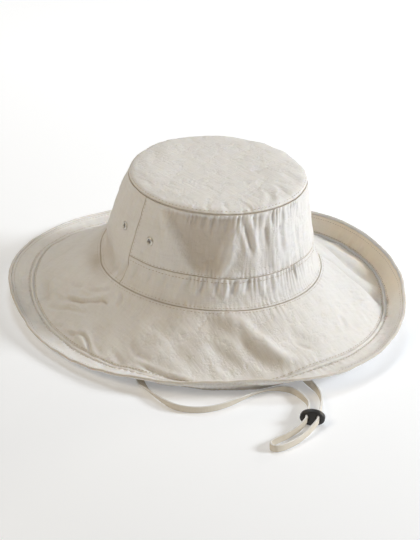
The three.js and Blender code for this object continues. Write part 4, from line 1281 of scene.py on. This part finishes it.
# The camera: its azimuth and elevation in degrees, distance in metres, focal length in pixels of the
# photograph's frame, and the point it looks at, in millimetres to its right, along its up and above the
# floor at the hat's middle.
CAMERA_AZIMUTH = -39.0
CAMERA_ELEVATION = 27.85
CAMERA_DISTANCE = 1.51265
CAMERA_FOCAL_PIXELS = 1852.98
CAMERA_AIM = (2.52, -29.1, 60.0)
FRAME_HEIGHT = 540
SENSOR = 36.0


def camera_axes():
    """The camera's right, up and backward directions in the row's frame."""
    azimuth, elevation = math.radians(CAMERA_AZIMUTH), math.radians(CAMERA_ELEVATION)
    back = Vector((math.sin(azimuth) * math.cos(elevation), -math.cos(azimuth) * math.cos(elevation),
                   math.sin(elevation)))
    right = Vector((math.cos(azimuth), math.sin(azimuth), 0))
    return right, back.cross(right), back


def stage_camera(scene):
    """The camera at the photograph's angle, looking at a point a little below the hat's middle."""
    right, up, back = camera_axes()
    across, rise, height = CAMERA_AIM
    aim = Vector(HEAD * (1, 1, 0)) + Vector((0, 0, height * MM)) + right * across * MM + up * rise * MM
    data = bpy.data.cameras.new("camera")
    data.sensor_width = SENSOR
    data.lens = CAMERA_FOCAL_PIXELS * SENSOR / FRAME_HEIGHT
    data.clip_end = 50
    camera = bpy.data.objects.new("camera", data)
    camera.matrix_world = Matrix.Translation(aim + back * CAMERA_DISTANCE) @ Matrix(
        (right, up, back)).transposed().to_4x4()
    scene.collection.objects.link(camera)
    scene.camera = camera


# The floor: half its width in metres, its colour, the level direction in which its own light grows, and
# how it grows from one distance in metres to another.
FLOOR_HALF_WIDTH = 6.0
FLOOR_COLOUR = (0.84, 0.865, 0.905, 1)
FLOOR_LIGHT = (1, 1, 1, 1)
FLOOR_GLOW_WAY = (0.91, 0.41)
FLOOR_GLOW = {"From Min": -0.32, "From Max": 0.4, "To Min": 0.1, "To Max": 0.36}


def stage_floor():
    """A wide white floor, a little bright of itself so that it stays white round the hat, and brighter
    behind it than at its left."""
    mesh = bpy.data.meshes.new("floor")
    half = FLOOR_HALF_WIDTH
    mesh.from_pydata([(-half, -half, 0), (half, -half, 0), (half, half, 0), (-half, half, 0)], [],
                     [(0, 1, 2, 3)])
    floor = bpy.data.objects.new("floor", mesh)
    bpy.context.scene.collection.objects.link(floor)
    material, tree, shader = new_material("white_floor", 0.9, specular=0.1)
    shader.inputs["Base Color"].default_value = FLOOR_COLOUR
    shader.inputs["Emission Color"].default_value = FLOOR_LIGHT
    place = node(tree, "ShaderNodeTexCoord").outputs["Object"]
    parts = node(tree, "ShaderNodeSeparateXYZ")
    tree.links.new(place, parts.inputs[0])
    towards = arithmetic(tree, "ADD", arithmetic(tree, "MULTIPLY", parts.outputs[0], FLOOR_GLOW_WAY[0]),
                         arithmetic(tree, "MULTIPLY", parts.outputs[1], FLOOR_GLOW_WAY[1]))
    glow = node(tree, "ShaderNodeMapRange", **FLOOR_GLOW)
    tree.links.new(towards, glow.inputs["Value"])
    tree.links.new(glow.outputs[0], shader.inputs["Emission Strength"])
    mesh.materials.append(material)


# Lights: name, direction from the hat in the camera's right, the world's up and towards the camera,
# distance and size in metres, power in watts, colour.
LIGHTS = (
    ("key", (0.95, 0.46, 0.14), 2.4, 0.6, 43, (0.94, 0.97, 1.0)),
    ("rim", (0.8, 0.35, -0.7), 2.4, 0.6, 8, (1.0, 0.9, 0.74)),
    ("left", (-0.68, 0.8, 0.42), 2.4, 0.9, 16, (1.0, 0.86, 0.66)),
    ("top", (-0.05, 1.0, -0.4), 2.6, 0.9, 17, (0.82, 0.91, 1.0)),
)
LIGHT_AIM_HEIGHT = 0.05
SKY_COLOUR = (1.0, 0.83, 0.62, 1)
SKY_STRENGTH = 0.16


def stage_lights(scene):
    """Soft area lights aimed at the hat, and a plain pale sky."""
    right, _, back = camera_axes()
    forward = Vector((back.x, back.y, 0)).normalized()
    middle = Vector((HEAD[0], HEAD[1], LIGHT_AIM_HEIGHT))
    for name, (across, rise, near), distance, width, power, tint in LIGHTS:
        way = (right * across + Vector((0, 0, rise)) + forward * near).normalized()
        data = bpy.data.lights.new(name, "AREA")
        data.energy = power
        data.size = width
        data.color = tint
        light = bpy.data.objects.new(name, data)
        light.location = middle + way * distance
        light.rotation_euler = way.to_track_quat("Z", "Y").to_euler()
        scene.collection.objects.link(light)
    world = bpy.data.worlds.new("pale_sky")
    world.use_nodes = True
    sky = world.node_tree.nodes["Background"]
    sky.inputs["Color"].default_value = SKY_COLOUR
    sky.inputs["Strength"].default_value = SKY_STRENGTH
    scene.world = world


class HAT_OT_crown(bpy.types.Operator):
    """Make the crown: the tip, the back panel, the front panel and the band below it"""

    bl_idname = "hat.crown"
    bl_label = "Crown"

    def execute(self, context):
        joins = seams()
        wall = size("crown_wall")
        left, right = SIDE_SEAMS
        gap = math.degrees(size("seam_gap") / 2 / size("tip_half_width"))
        in_back = [(at, EYELET_ALONG, CLOTH_HOLE) for at in (left + EYELET_TURN, right - EYELET_TURN)]
        in_front = [(at, EYELET_ALONG, CLOTH_HOLE)
                    for at in (left + 360 - EYELET_TURN, right + EYELET_TURN)]
        cloth_piece("crown_tip_cloth", ["crown_tip"], 0, joins["tip"][0], 0, 360, wall, "level",
                    spacing=2.0, turn=1.0)
        cloth_piece("crown_back_cloth", ["crown_back_panel"], joins["tip"][1], joins["head"][0],
                    left + gap, right - gap, wall, "round", in_back)
        cloth_piece("crown_front_cloth", ["crown_front_panel"], joins["tip"][1], joins["band"][0],
                    right + gap, left + 360 - gap, wall, "round", in_front, spacing=0.9, turn=0.28)
        cloth_piece("crown_band_cloth", ["crown_band"], joins["band"][1], joins["head"][0],
                    right + gap, left + 360 - gap, wall, "round", spacing=0.8, turn=0.28)
        return {"FINISHED"}


# How much further the ridge stands up than out, as a share of its radius.
RIDGE_STAND = 1.4


class HAT_OT_brim(bpy.types.Operator):
    """Make the brim: its panel, the stitched ridge, the border and the rolled hem"""

    bl_idname = "hat.brim"
    bl_label = "Brim"

    def execute(self, context):
        joins = seams()
        wall = size("brim_wall")
        cloth_piece("brim_panel_cloth", ["brim_panel"], joins["head"][1], joins["ridge"][0], 0, 360, wall,
                    "level")
        ridge = size("ridge_radius")
        ring_piece("brim_ridge_roll", ["brim_ridge"], 3.0, ridge, ridge * RIDGE_STAND, 14, 320, 31)
        cloth_piece("brim_border_cloth", ["brim_border"], joins["ridge"][1], joins["hem"][0], 0, 360, wall,
                    "round", spacing=1.2)
        ring_piece("brim_hem_roll", ["brim_binding"], joins["hem"][1], size("hem_half_width"),
                   size("hem_half_thickness"), 12, 360, 32)
        return {"FINISHED"}


class HAT_OT_stitching(bpy.types.Operator):
    """Lay the rows of stitches beside the seams"""

    bl_idname = "hat.stitching"
    bl_label = "Stitching"

    def execute(self, context):
        crown, brim = size("crown_wall"), size("brim_wall")
        left, right = SIDE_SEAMS
        band = 2 - share_of(size("band_height"), 1)
        rows = STITCH_ROWS
        stitch_piece("crown_stitches", [
            ("round", 1 - share_of(rows["tip"], 0), 0, 360, crown),
            ("round", band - share_of(rows["over_band"], 1), right + 1, left + 359, crown),
            ("round", band + share_of(rows["in_band"], 1), right + 1, left + 359, crown),
            ("round", 2 - share_of(rows["foot"], 1), 0, 360, crown),
            ("down", right + SIDE_STITCH_TURN, SIDE_STITCH_START, band - SIDE_STITCH_STOP, crown),
            ("down", left + 360 - SIDE_STITCH_TURN, SIDE_STITCH_START, band - SIDE_STITCH_STOP, crown),
        ])
        stitch_piece("brim_stitches", [
            ("round", 2 + share_of(rows["brim"], 2), 0, 360, brim),
            ("round", 3 - share_of(rows["ridge"], 2), 0, 360, brim),
            ("round", 3 + share_of(rows["ridge"], 3), 0, 360, brim),
            ("round", 4 - share_of(rows["hem"], 3), 0, 360, brim),
        ])
        return {"FINISHED"}


class HAT_OT_eyelets(bpy.types.Operator):
    """Set the four eyelets beside the side seams"""

    bl_idname = "hat.eyelets"
    bl_label = "Eyelets"

    def execute(self, context):
        left, right = SIDE_SEAMS
        material = metal_material()
        places = (left + EYELET_TURN, right - EYELET_TURN, left - EYELET_TURN, right + EYELET_TURN)
        for number, azimuth in enumerate(places, 1):
            eyelet(f"eyelet_ring_{number}", f"eyelet_{number}", azimuth, material)
        return {"FINISHED"}


def eyelet(name, cad_node, azimuth, material):
    """A rolled eyelet: a closed section turned round the cloth's normal, domed outside, with a barrel
    through the wall and a flat washer inside."""
    hole, flange = size("eyelet_hole"), size("eyelet_flange")
    seat = size("crown_wall") / 2 + 0.35
    tube = (flange - hole) / 2
    arc = np.linspace(0, math.pi, 13)
    outer = np.stack([hole + tube - tube * np.cos(arc), seat + 0.15 + 0.75 * np.sin(arc)], 1)
    inner = np.array([[flange, seat - 0.05], [hole + 0.55, seat - 0.1], [hole + 0.5, -seat + 0.1],
                      [flange - 0.1, -seat], [flange, -seat - 0.3], [flange - 0.3, -seat - 0.5],
                      [hole + 0.25, -seat - 0.5], [hole, -seat - 0.25]])
    section = np.concatenate([outer, inner])
    turn = np.arange(EYELET_STEPS) * 2 * math.pi / EYELET_STEPS
    along = np.array(EYELET_ALONG)
    up = cloth_normal(along, np.array(azimuth))
    across = np.cross(up, [0, 0, 1.0])
    across /= np.linalg.norm(across)
    other = np.cross(up, across)
    middle = cloth(along, np.array(azimuth)) + up * float(fine_relief(along, np.array(azimuth)))
    ring = across * np.cos(turn)[:, None] + other * np.sin(turn)[:, None]
    points = middle + ring[None] * section[:, :1, None] + up * section[:, 1:, None]
    index = np.arange(len(section) * EYELET_STEPS).reshape(-1, EYELET_STEPS)
    grid = np.concatenate([index, index[:1]])
    grid = np.concatenate([grid, grid[:, :1]], 1)
    quads = np.stack([grid[:-1, :-1], grid[:-1, 1:], grid[1:, 1:], grid[1:, :-1]], 2).reshape(-1, 4)
    points = points.reshape(-1, 3)
    if signed_volume(points, quads) < 0:
        quads = quads[:, ::-1]
    return make_piece(name, points, quads, [], None, {}, material, [cad_node])


def signed_volume(points, quads):
    """Volume of a closed mesh of quads, positive when its faces point out."""
    a, b, c, d = (points[quads[:, k]] for k in range(4))
    return (np.einsum("ij,ij->i", a, np.cross(b, c)) + np.einsum("ij,ij->i", a, np.cross(c, d))).sum() / 6


def tape_line():
    """The tape's middle line, its tangents and its width directions: a centripetal curve through the
    route's points, sampled evenly between them, with lean and hang blended from row to row."""
    route = np.array(TAPE_ROUTE, float)
    lean = np.radians(route[:, 3])
    rest = (size("tape_width") * np.sin(lean) + size("tape_thickness") * np.abs(np.cos(lean))) / 2
    points = np.stack([route[:, 0], route[:, 1], route[:, 2] + rest + TAPE_CLEARANCE], 1)
    padded = np.concatenate([[2 * points[0] - points[1]], points, [2 * points[-1] - points[-2]]])
    t = np.linspace(0, 1, TAPE_SAMPLES, endpoint=False)[:, None]
    pieces = []
    for p0, p1, p2, p3 in zip(padded[:-3], padded[1:-2], padded[2:-1], padded[3:]):
        d0, d1, d2 = (math.sqrt(np.linalg.norm(b - a)) for a, b in ((p0, p1), (p1, p2), (p2, p3)))
        m1 = ((p1 - p0) / d0 - (p2 - p0) / (d0 + d1) + (p2 - p1) / d1) * d1
        m2 = ((p2 - p1) / d1 - (p3 - p1) / (d1 + d2) + (p3 - p2) / d2) * d1
        pieces.append((2 * t ** 3 - 3 * t ** 2 + 1) * p1 + (t ** 3 - 2 * t ** 2 + t) * m1
                      + (3 * t ** 2 - 2 * t ** 3) * p2 + (t ** 3 - t ** 2) * m2)
    line = np.concatenate([*pieces, points[-1:]]) - (0, 0, HEAD[2] / MM)
    place = np.linspace(0, len(route) - 1, len(line))
    lean = np.radians(np.interp(place, np.arange(len(route)), route[:, 3]))[:, None]
    hang = np.interp(place, np.arange(len(route)), route[:, 4])
    tangent = np.gradient(line, axis=0)
    tangent /= np.linalg.norm(tangent, axis=1, keepdims=True)
    flat = np.cross(tangent, np.stack([-hang, 0 * hang, 1 - hang], 1))
    flat /= np.linalg.norm(flat, axis=1, keepdims=True)
    width = flat * np.cos(lean) + np.cross(flat, tangent) * np.sin(lean)
    return line, tangent, width


def tape_piece(line, tangent, width):
    """The tape as a closed mesh: a flat section with rounded corners, worked out as powers of the cosine
    and the sine, laid at right angles to each point of the middle line. Returns it and its length in
    millimetres."""
    thin = np.cross(tangent, width)
    half_width = size("tape_width") / 2
    half_thickness = size("tape_thickness") / 2 * TAPE_FULLNESS
    sides = TAPE_SIDES
    angle = (np.arange(sides) + 0.5) * 2 * math.pi / sides
    x = np.sign(np.cos(angle)) * np.abs(np.cos(angle)) ** TAPE_ROUNDING[0] * half_width
    y = np.sign(np.sin(angle)) * np.abs(np.sin(angle)) ** TAPE_ROUNDING[1] * half_thickness
    arc = np.concatenate([[0], np.cumsum(np.linalg.norm(np.diff(line, axis=0), axis=1))])
    ripple = 1 + sum(share * np.sin(arc / length + phase) for share, length, phase in TAPE_RIPPLES)
    points = (line[:, None] + width[:, None] * x[None, :, None]
              + thin[:, None] * (y[None, :] * ripple[:, None])[..., None])
    index = np.arange(points[..., 0].size).reshape(len(line), sides)
    after = np.roll(index, -1, 1)
    quads = np.stack([index[:-1], after[:-1], after[1:], index[1:]], 2).reshape(-1, 4)
    girth = np.arange(sides + 1) * (2 * size("tape_width") + 2 * size("tape_thickness")) / sides * MM
    u = np.stack([arc[:-1], arc[:-1], arc[1:], arc[1:]], 1) * MM
    v = np.stack([girth[:-1], girth[1:], girth[1:], girth[:-1]], 1)
    uv = np.stack(np.broadcast_arrays(u[:, None, :], v[None, :, :]), -1).reshape(-1, 2)
    caps = [[index[0, 0], index[0, k + 1], index[0, k]] for k in range(1, sides - 1)]
    caps += [[index[-1, 0], index[-1, k], index[-1, k + 1]] for k in range(1, sides - 1)]
    uv = np.concatenate([uv, np.zeros((3 * len(caps), 2))])
    points = points.reshape(-1, 3)
    if signed_volume(points, quads) < 0:
        turned = [0, 3, 2, 1]
        uv[:4 * len(quads)] = uv[:4 * len(quads)].reshape(-1, 4, 2)[:, turned].reshape(-1, 2)
        quads = quads[:, turned]
        caps = [cap[::-1] for cap in caps]
    # Lighter edges: a paler selvedge, and a painted highlight along the tape's edges.
    selvedge_highlight = np.broadcast_to(soft_step(np.abs(x) / half_width * 5 - 4), (len(line), sides))
    tape = make_piece("chin_tape", points, quads, caps, uv, {"shade": selvedge_highlight.ravel()}, tape_material(),
                      ["chin_cord"])
    return tape, float(arc[-1])


class HAT_OT_chin_cord(bpy.types.Operator):
    """Lay the chin cord's tape and set its toggle"""

    bl_idname = "hat.chin_cord"
    bl_label = "Chin cord"

    def execute(self, context):
        line, tangent, width = tape_line()
        tape, length = tape_piece(line, tangent, width)
        button = toggle()
        size("tape_width") * MM
        return {"FINISHED"}


def oval_spline(curve, half_length, half_height, middle, steps=48):
    """A closed outline of straight steps round an oval."""
    spline = curve.splines.new("POLY")
    spline.points.add(steps - 1)
    turn = np.arange(steps) * 2 * math.pi / steps
    flat = np.stack([middle + half_length * np.cos(turn), half_height * np.sin(turn), 0 * turn,
                     1 + 0 * turn], 1)
    flat[:, :3] *= MM
    spline.points.foreach_set("co", flat.ravel())
    spline.use_cyclic_u = True


# The toggle's slots: what they have beyond half the tape's thickness and half its width in millimetres,
# and in shares of the edge's rounding, which takes that much of it up again.
SLOT_PLAY = (0.9, 0.6)
SLOT_ROUNDING = (0.55, 0.35)


def toggle():
    """The toggle: an oval outline with two upright slots, given depth and a round edge, stood on its
    edge."""
    curve = bpy.data.curves.new("toggle", "CURVE")
    curve.dimensions = "2D"
    curve.fill_mode = "BOTH"
    rounding = size("toggle_rounding")
    oval_spline(curve, size("toggle_half_length") - rounding, size("toggle_half_height") - rounding, 0, 64)
    for side in (-0.5, 0.5):
        oval_spline(curve, size("tape_thickness") / 2 + SLOT_PLAY[0] + rounding * SLOT_ROUNDING[0],
                    size("tape_width") / 2 + SLOT_PLAY[1] + rounding * SLOT_ROUNDING[1],
                    side * size("toggle_holes"), 40)
    curve.extrude = (size("toggle_thickness") / 2 - rounding) * MM
    curve.bevel_depth = rounding * MM
    curve.bevel_resolution = 5
    shaped = bpy.data.objects.new("toggle_shape", curve)
    bpy.context.scene.collection.objects.link(shaped)
    mesh = bpy.data.meshes.new_from_object(shaped.evaluated_get(bpy.context.evaluated_depsgraph_get()))
    bpy.data.objects.remove(shaped)
    x, y, facing = TOGGLE_PLACE
    place = Vector(HEAD * (1, 1, 0)) + Vector((x, y, size("toggle_half_height") + TAPE_CLEARANCE)) * MM
    upright = Matrix.Rotation(math.radians(90), 4, "X")
    mesh.transform(Matrix.Translation(place) @ Matrix.Rotation(math.radians(facing + 90), 4, "Z") @ upright)
    mesh.name = "toggle_button"
    mesh.shade_smooth()
    mesh.materials.clear()
    mesh.materials.append(plastic_material())
    piece = bpy.data.objects.new("toggle_button", mesh)
    bpy.context.scene.collection.objects.link(piece)
    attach(piece, "root")
    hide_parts("cord_toggle")
    return piece


class HAT_PT_pieces(bpy.types.Panel):
    """The hat's pieces and sizes in the sidebar"""

    bl_idname = "HAT_PT_pieces"
    bl_label = "Outback hat"
    bl_space_type = "VIEW_3D"
    bl_region_type = "UI"
    bl_category = "Hat"

    def draw(self, context):
        for operator in OPERATORS:
            self.layout.operator(operator.bl_idname)
        for group in (context.scene.hat_sizes, context.scene.hat_colours):
            for name in group.__annotations__:
                self.layout.prop(group, name)


OPERATORS = (HAT_OT_stage, HAT_OT_chin_cord, HAT_OT_crown, HAT_OT_brim, HAT_OT_stitching, HAT_OT_eyelets)
CLASSES = (HatSizes, HatColours, *OPERATORS, HAT_PT_pieces)


def register():
    """Register the classes, and keep the sizes and colours in the scene"""
    for cls in CLASSES:
        bpy.utils.register_class(cls)
    bpy.types.Scene.hat_sizes = PointerProperty(type=HatSizes)
    bpy.types.Scene.hat_colours = PointerProperty(type=HatColours)


def unregister():
    """Take back what register did, the other way round"""
    del bpy.types.Scene.hat_colours
    del bpy.types.Scene.hat_sizes
    for cls in reversed(CLASSES):
        bpy.utils.unregister_class(cls)


def main():
    """Build the whole hat and its stage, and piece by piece"""
    global HEAD
    register()
    HEAD = head_place()
    bpy.ops.hat.stage()
    bpy.ops.hat.chin_cord()
    bpy.ops.hat.crown()
    bpy.ops.hat.brim()
    bpy.ops.hat.stitching()
    bpy.ops.hat.eyelets()


if __name__ == "__main__":
    main()
